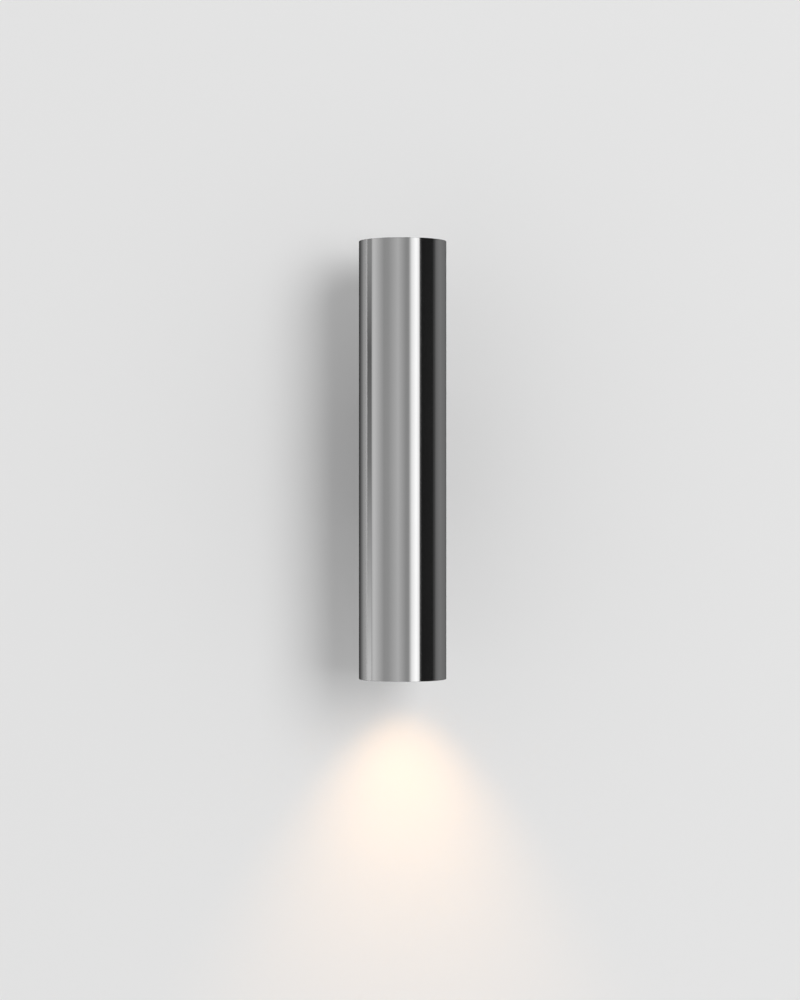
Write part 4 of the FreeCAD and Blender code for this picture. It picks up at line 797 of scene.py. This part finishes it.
def ring_tree(material):
    """Tree of the glare ring: a ridge wound round the turned body, and slots cut in its lower face."""
    tree, inside, outside = rule_tree(
        "Thread and slots",
        ["Thread radius", "Ridge", "Pitch", "Turns", "Thread start", "Slot width", "Slot depth", "Face"],
        [("Slots", 3)])
    given = inside.outputs
    climb = maths(tree, "MULTIPLY", given["Pitch"], given["Turns"])
    helix = add_node(
        tree, "GeometryNodeCurveSpiral",
        {"Resolution": 96, "Rotations": given["Turns"], "Start Radius": given["Thread radius"],
         "End Radius": given["Thread radius"], "Height": climb})
    sunk = 1.15  # the ridge's foot lies a little inside the body
    size = maths(tree, "MULTIPLY", given["Ridge"], sunk)
    ridge = add_node(tree, "GeometryNodeCurvePrimitiveCircle", {"Resolution": 4, "Radius": size})
    thread = add_node(
        tree, "GeometryNodeCurveToMesh",
        {"Curve": helix.outputs[0], "Profile Curve": ridge.outputs[0], "Fill Caps": True})
    lifted = moved(tree, thread.outputs[0], combined(tree, z=given["Thread start"]))
    reach = maths(tree, "MULTIPLY", given["Thread radius"], 0.5)
    block = add_node(
        tree, "GeometryNodeMeshCube",
        {"Size": combined(tree, given["Thread radius"], given["Slot width"],
                          maths(tree, "MULTIPLY", given["Slot depth"], 2.0))})
    outer = moved(tree, block.outputs[0], combined(tree, x=maths(tree, "MULTIPLY", reach, 2.0)))
    spots = add_node(tree, "GeometryNodeMeshCircle", {"Vertices": given["Slots"], "Radius": 0.0})
    number = add_node(tree, "GeometryNodeInputIndex").outputs[0]
    share = maths(tree, "DIVIDE", number, given["Slots"])
    angle = maths(tree, "ADD", maths(tree, "MULTIPLY", share, 2 * math.pi), math.pi / 2)
    cuts = add_node(
        tree, "GeometryNodeInstanceOnPoints",
        {"Points": spots.outputs[0], "Instance": outer, "Rotation": combined(tree, z=angle)})
    real = add_node(tree, "GeometryNodeRealizeInstances", {"Geometry": cuts.outputs[0]})
    lowered = moved(tree, real.outputs[0], combined(tree, z=given["Face"]))
    placed = moved(tree, lowered, given["Place"])
    slotted = add_node(tree, "GeometryNodeMeshBoolean", operation="DIFFERENCE", solver="EXACT")
    tree.links.new(given["Geometry"], slotted.inputs["Mesh 1"])
    tree.links.new(placed, slotted.inputs["Mesh 2"])
    whole = add_node(tree, "GeometryNodeJoinGeometry")
    tree.links.new(slotted.outputs[0], whole.inputs[0])
    tree.links.new(moved(tree, lifted, given["Place"]), whole.inputs[0])
    finish_tree(tree, whole.outputs[0], outside, material)
    return tree


def strip_tree(material):
    """Tree of the foam strip: a soft-edged section that follows a rounded rectangle."""
    tree, inside, outside = rule_tree(
        "Foam strip", ["Width", "Height", "Corner", "Strip width", "Thickness", "Soft edge"])
    given = inside.outputs
    frame_curve = add_node(
        tree, "GeometryNodeCurvePrimitiveQuadrilateral",
        {"Width": given["Width"], "Height": given["Height"]})
    path = add_node(
        tree, "GeometryNodeFilletCurve",
        {"Curve": frame_curve.outputs[0], "Radius": given["Corner"], "Count": 16, "Limit Radius": True},
        mode="POLY")
    flat = add_node(
        tree, "GeometryNodeCurvePrimitiveQuadrilateral",
        {"Width": given["Strip width"], "Height": given["Thickness"]})
    soft = add_node(
        tree, "GeometryNodeFilletCurve",
        {"Curve": flat.outputs[0], "Radius": given["Soft edge"], "Count": 4, "Limit Radius": True},
        mode="POLY")
    strip = add_node(
        tree, "GeometryNodeCurveToMesh", {"Curve": path.outputs[0], "Profile Curve": soft.outputs[0]})
    upright = moved(tree, strip.outputs[0], (0.0, 0.0, 0.0), (math.pi / 2, 0.0, 0.0))
    finish_tree(tree, moved(tree, upright, given["Place"]), outside, material)
    return tree


def lattice_distance(tree, place, pitch, shift):
    """Distance to the nearest point of a lattice, one pitch wide and sqrt(3) pitches high."""
    tall = maths(tree, "MULTIPLY", pitch, math.sqrt(3))
    cell = combined(tree, pitch, tall, 1.0)
    share = vectors(tree, "DIVIDE", place, cell)
    moved_share = vectors(tree, "ADD", share, (shift, shift, 0.0))
    whole = vectors(tree, "ADD", moved_share, (0.5, 0.5, 0.5))
    nearest = vectors(tree, "FLOOR", whole)
    rest = vectors(tree, "SUBTRACT", moved_share, nearest)
    back = vectors(tree, "MULTIPLY", rest, cell)
    flat = vectors(tree, "MULTIPLY", back, (1.0, 1.0, 0.0))
    return vectors(tree, "LENGTH", flat)


def lens_tree(material):
    """Tree of the lamp lens: a hexagonal field of small domes raised on its flat face."""
    tree, inside, outside = rule_tree("Field of small lenses", ["Pitch", "Rise", "Field", "Face"])
    given = inside.outputs
    position = add_node(tree, "GeometryNodeInputPosition").outputs[0]
    place = vectors(tree, "SUBTRACT", position, given["Place"])
    parts = add_node(tree, "ShaderNodeSeparateXYZ", {0: place}).outputs
    first = lattice_distance(tree, place, given["Pitch"], 0.0)
    second = lattice_distance(tree, place, given["Pitch"], 0.5)
    nearest = maths(tree, "DIVIDE", maths(tree, "MINIMUM", first, second), given["Pitch"])
    steep = 3.0  # each dome meets its neighbours' corners at no height
    dome = maths(tree, "SUBTRACT", 1.0, maths(tree, "MULTIPLY", maths(tree, "POWER", nearest, 2.0), steep))
    rise = maths(tree, "MULTIPLY", maths(tree, "MAXIMUM", dome, 0.0), given["Rise"])
    level = maths(tree, "ABSOLUTE", maths(tree, "SUBTRACT", parts["Z"], given["Face"]))
    close = 0.01 * MM
    on_face = maths(tree, "LESS_THAN", level, close)
    flat = vectors(tree, "MULTIPLY", place, (1.0, 1.0, 0.0))
    radius = vectors(tree, "LENGTH", flat)
    in_field = maths(tree, "LESS_THAN", radius, given["Field"])
    chosen = maths(tree, "MULTIPLY", on_face, in_field)
    drop = combined(tree, z=maths(tree, "MULTIPLY", maths(tree, "MULTIPLY", rise, chosen), -1.0))
    raised = add_node(tree, "GeometryNodeSetPosition", {"Geometry": given["Geometry"], "Offset": drop})
    finish_tree(tree, raised.outputs[0], outside, material)
    return tree


# ---------------------------------------------------------------------------- operators
def settings():
    """All settings of this file."""
    return bpy.context.scene.tube_light


class FinishOperator(bpy.types.Operator):
    """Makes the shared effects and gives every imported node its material"""

    bl_idname = "tube_light.finishes"
    bl_label = "Finishes"

    def execute(self, context):
        EFFECTS.update({tree.name: tree for tree in (
            grain_group(), streak_group(), turned_group(), marks_group(), wear_group(), dust_group())})
        finish = settings().finish
        MATERIALS.update({slot: make(finish) for slot, make in FINISHES.items()})
        for make, table in ((moulding, MOULDINGS), (bright_metal, METALS), (insulation, WIRES)):
            MATERIALS.update({slot: make(*facts) for slot, facts in table.items()})
        special = {node: make(finish) for node, make in FINISH_OF_NODE.items()}
        for part in frame["record"]["subparts"]:
            node = frame["nodes"][part["node"]]
            node.data.materials.clear()
            node.data.materials.append(special.get(part["node"], MATERIALS[part["material_slot"]]))
        return {"FINISHED"}


class TubeOperator(bpy.types.Operator):
    """Makes the tube"""

    bl_idname = "tube_light.tube"
    bl_label = "Tube"

    def execute(self, context):
        sizes = settings().tube
        values = {
            "Radius": TUBE_RADIUS, "Wall": sizes.wall, "Length": TUBE_HIGH.z - TUBE_LOW.z,
            "Chamfer": sizes.rim_chamfer, "Cable hole": sizes.cable_hole, "Screw hole": sizes.screw_hole,
            "Screw height": sizes.screw_height, "Segments": sizes.segments, "Place": tuple(TUBE_AXIS),
        }
        mesh = grown_mesh("tube_shell", tube_tree(MATERIALS["tube"]), values)
        new_piece("tube_shell", mesh, MATERIALS["tube"], "housing", ["tube"])
        return {"FINISHED"}


class CapOperator(bpy.types.Operator):
    """Makes the top cap"""

    bl_idname = "tube_light.top_cap"
    bl_label = "Top cap"

    def execute(self, context):
        sizes = settings().cap
        radius = (CAP_HIGH.x - CAP_LOW.x) / 2
        top, low = CAP_HIGH.z, CAP_LOW.z
        skirt = radius - sizes.skirt_wall
        floor = top - sizes.plate
        seal_low, seal_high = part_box("cap_seal")
        middle = (seal_low.z + seal_high.z) / 2
        groove = sizes.groove_width / 2
        edge = sizes.chamfer
        outline = [
            (0, top), (radius - edge, top), (radius, top - edge),
            (radius, middle + groove), (radius - sizes.groove_depth, middle + groove),
            (radius - sizes.groove_depth, middle - groove), (radius, middle - groove), (radius, low + edge),
            (radius - edge, low), (skirt, low), (skirt, floor), (0, floor),
        ]
        mesh = turned_mesh("top_cap_turned", outline, TUBE_AXIS, "Z", settings().tube.segments)
        new_piece(
            "top_cap_turned", mesh, MATERIALS["satin_aluminium"], "housing", ["top_cap"])
        return {"FINISHED"}


class RingOperator(bpy.types.Operator):
    """Makes the glare ring, with its stepped bore, thread and key slots"""

    bl_idname = "tube_light.glare_ring"
    bl_label = "Glare ring"

    def execute(self, context):
        sizes = settings().ring
        flange = (RING_HIGH.x - RING_LOW.x) / 2
        low, top = RING_LOW.z, RING_HIGH.z
        collar_bore = (GLASS_HIGH.x - GLASS_LOW.x) / 2 + sizes.glass_play
        root = collar_bore - sizes.play - sizes.thread_depth
        shoulder = low + sizes.flange
        soft = sizes.edge
        outline = [(flange - soft, low), (flange, low + soft), (flange, shoulder - soft),
                   (flange - soft, shoulder), (root, shoulder), (root, top)]
        radius = root - sizes.top_wall
        rise = (top - low) / sizes.steps
        for step in range(sizes.steps):
            high = top - step * rise
            outline += [(radius, high), (radius, high - rise + soft), (radius + soft, high - rise)]
            radius += sizes.step_in
        body = turned_mesh("glare_ring_body", outline, TUBE_AXIS, "Z", settings().tube.segments)
        values = {
            "Thread radius": root, "Ridge": sizes.thread_depth, "Pitch": sizes.pitch,
            "Turns": sizes.thread_length / sizes.pitch - 1, "Thread start": shoulder + sizes.pitch / 2,
            "Slot width": sizes.slot_width, "Slot depth": sizes.slot_depth, "Face": low,
            "Slots": sizes.slots, "Place": tuple(TUBE_AXIS),
        }
        mesh = grown_mesh("glare_ring_turned", ring_tree(MATERIALS["black_anodised"]), values, body)
        new_piece(
            "glare_ring_turned", mesh, MATERIALS["black_anodised"], "glare_ring",
            ["glare_ring"])
        return {"FINISHED"}


class OpticOperator(bpy.types.Operator):
    """Makes the lamp's lens, with its field of small lenses"""

    bl_idname = "tube_light.lamp_lens"
    bl_label = "Lamp lens"

    def execute(self, context):
        sizes = settings().optic
        edge = (LENS_HIGH.x - LENS_LOW.x) / 2
        face, top = LENS_LOW.z + sizes.facet_sag, LENS_HIGH.z
        back = LENS_LOW.z + sizes.disc
        outline = [(sizes.facet_field * step / FACE_RINGS, face) for step in range(FACE_RINGS + 1)]
        outline += [(edge, face), (edge, back), (sizes.cone, back)]
        run, rise = sizes.neck - sizes.cone, top - back
        chord = math.hypot(run, rise)
        for step in range(1, FLANK_RINGS + 1):
            share = step / FLANK_RINGS
            bow = sizes.bulge * 4 * share * (1 - share) / chord
            outline.append((sizes.cone + run * share + bow * rise, back + rise * share - bow * run))
        floor = top - sizes.pocket_depth
        outline += [(sizes.pocket, top), (sizes.pocket, floor), (0, floor)]
        body = turned_mesh("lamp_lens_body", outline, TUBE_AXIS, "Z", LENS_STEPS)
        values = {
            "Pitch": sizes.facet, "Rise": sizes.facet_sag, "Field": sizes.facet_field, "Face": face,
            "Place": tuple(TUBE_AXIS),
        }
        mesh = grown_mesh("lamp_lens_faceted", lens_tree(MATERIALS["lamp_lens"]), values, body)
        new_piece(
            "lamp_lens_faceted", mesh, MATERIALS["lamp_lens"], "lamp", ["lamp_lens"])
        return {"FINISHED"}


class SealOperator(bpy.types.Operator):
    """Makes the foam strip, the grommets and the gaskets"""

    bl_idname = "tube_light.seals"
    bl_label = "Seals"

    def execute(self, context):
        sizes = settings().seal
        low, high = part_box("wall_seal")
        values = {
            "Width": high.x - low.x - sizes.strip_width, "Height": high.z - low.z - sizes.strip_width,
            "Corner": sizes.strip_corner, "Strip width": sizes.strip_width, "Thickness": high.y - low.y,
            "Soft edge": sizes.strip_edge, "Place": (0.0, (low.y + high.y) / 2, 0.0),
        }
        mesh = grown_mesh("wall_foam_strip", strip_tree(MATERIALS["foam"]), values)
        new_piece("wall_foam_strip", mesh, MATERIALS["foam"], "housing", ["wall_seal"])

        low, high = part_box("cable_grommet")
        flange = (high.x - low.x) / 2
        outline = rounded([
            (sizes.bore, low.y), (flange, low.y), (flange, low.y + sizes.lip),
            (sizes.neck, low.y + sizes.lip), (sizes.neck, high.y - sizes.lip),
            (flange, high.y - sizes.lip), (flange, high.y), (sizes.bore, high.y),
        ], sizes.soft_lip)
        mesh = turned_mesh("cable_grommet_soft", outline, Vector((0, 0, 0)), "Y", SMALL_STEPS)
        new_piece(
            "cable_grommet_soft", mesh, MATERIALS["black_rubber"], "wall_bracket",
            ["cable_grommet"])

        low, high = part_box("tube_grommet")
        mesh = wrapped_grommet(sizes, (high.x - low.x) / 2)
        new_piece(
            "tube_grommet_soft", mesh, MATERIALS["black_rubber"], "housing",
            ["tube_grommet"])

        low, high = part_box("cap_seal")
        section = (high.z - low.z) / 2
        middle = (high.x - low.x) / 2 - section
        steps = 24
        turns = [2 * math.pi * step / steps for step in range(steps)]
        outline = [
            (middle + section * math.cos(turn), (low.z + high.z) / 2 + section * math.sin(turn))
            for turn in turns]
        mesh = turned_mesh("cap_seal_ring", outline, TUBE_AXIS, "Z", LARGE_STEPS)
        new_piece("cap_seal_ring", mesh, MATERIALS["black_rubber"], "housing", ["cap_seal"])

        low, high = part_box("lens_gasket")
        outer = (high.x - low.x) / 2
        inner = outer - sizes.lens_seat
        outline = rounded(
            [(inner, low.z), (outer, low.z), (outer, high.z), (inner, high.z)], sizes.sheet_edge * 2)
        mesh = turned_mesh("lens_gasket_soft", outline, TUBE_AXIS, "Z", LARGE_STEPS)
        new_piece("lens_gasket_soft", mesh, MATERIALS["silicone"], "lens", ["lens_gasket"])

        mesh = softened_copy("saddle_gasket_soft", "saddle_gasket", sizes.sheet_edge)
        new_piece(
            "saddle_gasket_soft", mesh, MATERIALS["black_rubber"], "housing",
            ["saddle_gasket"])
        return {"FINISHED"}


def softened_copy(name, node, width):
    """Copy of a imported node's mesh, merged into one surface, with its sharp edges rounded."""
    shape = bmesh.new()
    shape.from_mesh(frame["nodes"][node].data)
    bmesh.ops.remove_doubles(shape, verts=shape.verts, dist=0.002 * MM)
    bmesh.ops.dissolve_limit(
        shape, angle_limit=math.radians(0.5), verts=shape.verts, edges=shape.edges)
    bmesh.ops.dissolve_degenerate(shape, dist=0.1 * MM, edges=shape.edges)
    rim = math.radians(50)
    sharp = [edge for edge in shape.edges if edge.calc_face_angle(0) > rim]
    bmesh.ops.bevel(
        shape, geom=sharp, offset=width, segments=2, profile=0.5, affect="EDGES", clamp_overlap=False)
    bmesh.ops.recalc_face_normals(shape, faces=shape.faces)
    mesh = bpy.data.meshes.new(name)
    shape.to_mesh(mesh)
    shape.free()
    soften(mesh)
    return mesh


def wrapped_grommet(sizes, flange):
    """Rubber ring round the tube's cable hole, whose lips follow the curve of the tube."""
    wall = settings().tube.wall
    outer, inner = TUBE_RADIUS, TUBE_RADIUS - wall
    outline = rounded([
        (sizes.bore, outer + sizes.tube_lip), (sizes.bore, inner - sizes.tube_lip),
        (flange, inner - sizes.tube_lip), (flange, inner), (sizes.tube_neck, inner),
        (sizes.tube_neck, outer), (flange, outer), (flange, outer + sizes.tube_lip),
    ], sizes.soft_lip)
    mesh = turned_mesh("tube_grommet_soft", outline, Vector((0, 0, 0)), "Y", SMALL_STEPS)
    for vertex in mesh.vertices:
        side, radius = vertex.co.x, vertex.co.y
        vertex.co.y = TUBE_AXIS.y + math.sqrt(max(radius * radius - side * side, 0.0))
    return mesh


class LampLightOperator(bpy.types.Operator):
    """Makes the lamp's warm beam"""

    bl_idname = "tube_light.lamp_light"
    bl_label = "Lamp light"

    def execute(self, context):
        finish = settings().finish
        beam = bpy.data.lights.new("lamp_beam", "SPOT")
        beam.color = finish.lamp_light
        beam.energy = finish.lamp_power
        beam.spot_size = finish.beam_angle
        beam.spot_blend = finish.beam_blend
        beam.shadow_soft_size = 2 * MM
        lamp = bpy.data.objects.new("lamp_beam", beam)
        lamp.location = (TUBE_AXIS.x, TUBE_AXIS.y, TUBE_LOW.z + finish.beam_depth)
        lamp.visible_glossy = False
        context.scene.collection.objects.link(lamp)
        blockers = bpy.data.collections.new("beam_blockers")
        blockers.objects.link(bpy.data.objects["studio_wall"])
        lamp.light_linking.blocker_collection = blockers
        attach(lamp, "lamp")
        return {"FINISHED"}


def card(name, corners, material):
    """Flat stage card that only mirrors and glass see."""
    mesh = bpy.data.meshes.new(name)
    mesh.from_pydata(corners, [], [(0, 1, 2, 3)])
    made = bpy.data.objects.new(name, mesh)
    made.data.materials.append(material)
    bpy.context.scene.collection.objects.link(made)
    made.visible_camera = False
    made.visible_diffuse = False
    made.visible_shadow = False
    made.visible_transmission = False
    return made


def card_material(name, axis, stops):
    """Plain glow along one axis of a card, from (place, strength) stops in metres."""
    material, tree, out = blank_material(name)
    place = object_place(tree)
    along = add_node(tree, "ShaderNodeSeparateXYZ", {0: place}).outputs[axis]
    glow = ramp(tree, along, stops)
    emission = add_node(tree, "ShaderNodeEmission", {"Color": glow, "Strength": 1.0})
    tree.links.new(emission.outputs[0], out.inputs["Surface"])
    return material


def ramp(tree, value, stops):
    """Grey that follows a value through (value, grey) stops."""
    first, last = stops[0][0], stops[-1][0]
    share = ranged(tree, value, first, last, 0.0, 1.0)
    made = add_node(tree, "ShaderNodeValToRGB", {0: share})
    made.color_ramp.interpolation = "LINEAR"
    elements = made.color_ramp.elements
    while len(elements) > 1:
        elements.remove(elements[-1])
    for number, (place, grey) in enumerate(stops):
        at = (place - first) / (last - first)
        stop = elements[0] if number == 0 else elements.new(at)
        stop.position = at
        stop.color = (grey, grey, grey, 1.0)
    return made.outputs[0]


def wall_paint(studio):
    """Matt wall paint. It is clear from behind, to what lies against it, and where the canopy covers it."""
    material, tree, out = blank_material("wall_paint")
    shader = add_node(tree, "ShaderNodeBsdfDiffuse", {"Color": (*studio.wall, 1.0)})
    clear_way = add_node(tree, "ShaderNodeBsdfTransparent")
    behind = add_node(tree, "ShaderNodeNewGeometry").outputs["Backfacing"]
    ray = add_node(tree, "ShaderNodeLightPath").outputs["Ray Length"]
    touching = 5 * MM
    close = maths(tree, "LESS_THAN", ray, touching)
    place = object_place(tree)
    parts = add_node(tree, "ShaderNodeSeparateXYZ", {0: place}).outputs
    beside = maths(tree, "LESS_THAN", maths(tree, "ABSOLUTE", parts["X"]), studio.cover_width)
    along = maths(tree, "LESS_THAN", maths(tree, "ABSOLUTE", parts["Z"]), studio.cover_height)
    covered = maths(tree, "MULTIPLY", beside, along)
    either = maths(tree, "MAXIMUM", maths(tree, "MAXIMUM", behind, close), covered)
    both = add_node(tree, "ShaderNodeMixShader", {0: either, 1: shader.outputs[0], 2: clear_way.outputs[0]})
    tree.links.new(both.outputs[0], out.inputs["Surface"])
    return material


# What polished metal mirrors round the tube: degrees right of the camera, and shares of the room's strength
ROOM = [
    (-180, 0.30), (-98, 0.17), (-90, 0.21),  # dim backdrop behind, on the left
    (-87, 0.45), (-80, 0.47), (-50, 0.25),  # pale panel far left, fading towards the camera
    (-38, 0.26), (-12, 0.40), (9, 0.235),  # soft panel beside the camera
    (16, 0.235), (24, 0.74), (36, 1.0), (44, 0.77),  # bright soft box
    (46.5, 0.06), (52, 0.01), (86, 0.012),  # black flag beside the soft box
    (98, 0.10), (180, 0.15),  # dim backdrop behind, on the right
]
# Cards beside the tube, seen only in its reflections, where they stand in for the wall as painted
# reflections: the right card paints a wall darker than the lit one, darkest next to the tube, and the shade
# card paints the wall's shadow beside the tube's left side, darkest next to it. Metres to the right of the
# tube, and the card's grey
RIGHT_REFLECTION_CARD = [(0.035, 0.11), (0.083, 0.26), (0.15, 0.335), (0.526, 0.23), (1.0, 0.13), (2.0, 0.06)]
PAINTED_SHADE_CARD = [(-0.20, 0.62), (-0.135, 0.53), (-0.063, 0.075), (-0.035, 0.03)]
# Narrow upright card on the left. Metres above the tube's middle, and the card's grey
STREAK_CARD = [(-0.6, 0.95), (-0.15, 0.95), (0.0, 0.31), (0.08, 0.19), (0.15, 0.42), (0.6, 0.50)]


def studio_world(studio):
    """Even light, a pale background, and the room that polished metal mirrors."""
    world = bpy.data.worlds.new("studio")
    bpy.context.scene.world = world
    world.use_nodes = True
    tree = world.node_tree
    tree.nodes.clear()
    out = tree.nodes.new("ShaderNodeOutputWorld")
    direction = add_node(tree, "ShaderNodeTexCoord").outputs["Generated"]
    parts = add_node(tree, "ShaderNodeSeparateXYZ", {0: direction}).outputs
    towards = maths(tree, "MULTIPLY", parts["Y"], -1.0)
    azimuth = maths(tree, "ARCTAN2", parts["X"], towards)
    room = ramp(tree, maths(tree, "MULTIPLY", azimuth, 180 / math.pi), ROOM)
    steep = ranged(tree, maths(tree, "ABSOLUTE", parts["Z"]), 0.8, 0.95, 0.0, 1.0)
    even = add_node(tree, "ShaderNodeMix", {0: steep}, data_type="RGBA")
    tree.links.new(room, even.inputs[6])
    even.inputs[7].default_value = (0.35, 0.35, 0.35, 1.0)
    path = add_node(tree, "ShaderNodeLightPath").outputs
    seen = maths(tree, "MAXIMUM", path["Is Camera Ray"], path["Is Transmission Ray"])
    facing = maths(tree, "ABSOLUTE", parts["Y"])
    level = ranged(tree, facing, 0.0, 1.0, studio.fill_grazing, studio.fill_facing)
    fill = add_node(tree, "ShaderNodeBackground", {"Color": (1.0, 1.0, 1.0, 1.0), "Strength": level})
    pale = add_node(
        tree, "ShaderNodeBackground", {"Color": (*studio.background, 1.0), "Strength": 1.0})
    mirrored = add_node(tree, "ShaderNodeBackground", {"Color": even.outputs[2], "Strength": studio.room})
    first = add_node(
        tree, "ShaderNodeMixShader", {0: path["Is Glossy Ray"], 1: fill.outputs[0], 2: mirrored.outputs[0]})
    second = add_node(tree, "ShaderNodeMixShader", {0: seen, 1: first.outputs[0], 2: pale.outputs[0]})
    tree.links.new(second.outputs[0], out.inputs["Surface"])


class StudioOperator(bpy.types.Operator):
    """Makes the wall, the lights and the camera"""

    bl_idname = "tube_light.studio"
    bl_label = "Studio"

    def execute(self, context):
        studio = settings().studio
        scene = context.scene
        half = studio.wall_size / 2
        mesh = bpy.data.meshes.new("studio_wall")
        behind = 0.5 * MM
        mesh.from_pydata(
            [(-half, behind, -half), (half, behind, -half), (half, behind, half), (-half, behind, half)],
            [], [(0, 1, 2, 3)])
        wall = bpy.data.objects.new("studio_wall", mesh)
        wall.data.materials.append(wall_paint(studio))
        scene.collection.objects.link(wall)

        near, tall = -1.5 * MM, 1.2  # in front of the wall, and half the cards' height
        # the right card and the shade card are painted reflections of the wall; the shade card's low greys
        # are painted shadow
        for name, stops in (("right_card", RIGHT_REFLECTION_CARD), ("shade_card", PAINTED_SHADE_CARD)):
            start, end = stops[0][0], stops[-1][0]
            corners = [(start, near, -tall), (end, near, -tall), (end, near, tall), (start, near, tall)]
            card(name, corners, card_material(name, "X", stops))
        out, front, back = -0.15, -0.0812, -0.039  # place left of the tube, and its two ends from the wall
        corners = [(out, front, -tall), (out, back, -tall), (out, back, tall), (out, front, tall)]
        card("streak_card", corners, card_material("streak_card", "Z", STREAK_CARD))

        key = bpy.data.lights.new("key", "AREA")
        key.shape = "ELLIPSE"
        key.size = studio.key_width
        key.size_y = studio.key_height
        key.energy = studio.key_power
        lamp = bpy.data.objects.new("key", key)
        flat = math.cos(studio.key_elevation) * studio.key_distance
        lamp.location = (
            flat * math.sin(studio.key_azimuth), TUBE_AXIS.y - flat * math.cos(studio.key_azimuth),
            studio.key_distance * math.sin(studio.key_elevation))
        facing = TUBE_AXIS - lamp.location
        lamp.rotation_euler = facing.to_track_quat("-Z", "Y").to_euler()
        lamp.visible_glossy = False
        lamp.visible_camera = False
        scene.collection.objects.link(lamp)

        studio_world(studio)
        scene.view_settings.view_transform = "Standard"

        lens = bpy.data.cameras.new("camera")
        lens.sensor_width = 36
        lens.lens = studio.focal_length
        lens.clip_start = 0.01
        camera = bpy.data.objects.new("camera", lens)
        camera.location = (-studio.camera_left, TUBE_AXIS.y - studio.camera_distance, -studio.camera_drop)
        camera.rotation_euler = (math.pi / 2, 0, 0)
        scene.collection.objects.link(camera)
        scene.camera = camera
        return {"FINISHED"}


SETTINGS = [
    TubeSettings, CapSettings, RingSettings, OpticSettings, SealSettings, FinishSettings, StudioSettings,
    LightSettings,
]
STEPS = [
    StudioOperator, FinishOperator, TubeOperator, CapOperator, RingOperator, OpticOperator, SealOperator,
    LampLightOperator,
]


class TubePanel(bpy.types.Panel):
    """Lists the steps and their sizes"""

    bl_idname = "VIEW3D_PT_tube_light"
    bl_label = "Tube wall light"
    bl_space_type = "VIEW_3D"
    bl_region_type = "UI"
    bl_category = "Tube light"

    def draw(self, context):
        column = self.layout.column()
        for step in STEPS:
            column.operator(step.bl_idname)
        for name in LightSettings.__annotations__:
            group = getattr(settings(), name)
            box = self.layout.box()
            box.label(text=settings().bl_rna.properties[name].name)
            for size in type(group).__annotations__:
                box.prop(group, size)


CLASSES = SETTINGS + STEPS + [TubePanel]


def register():
    for kind in CLASSES:
        bpy.utils.register_class(kind)
    bpy.types.Scene.tube_light = PointerProperty(type=LightSettings)


def unregister():
    del bpy.types.Scene.tube_light
    for kind in reversed(CLASSES):
        bpy.utils.unregister_class(kind)


def main():
    register()
    bpy.ops.tube_light.studio()
    bpy.ops.tube_light.finishes()
    bpy.ops.tube_light.tube()
    bpy.ops.tube_light.top_cap()
    bpy.ops.tube_light.glare_ring()
    bpy.ops.tube_light.lamp_lens()
    bpy.ops.tube_light.seals()
    bpy.ops.tube_light.lamp_light()


if __name__ == "__main__":
    main()
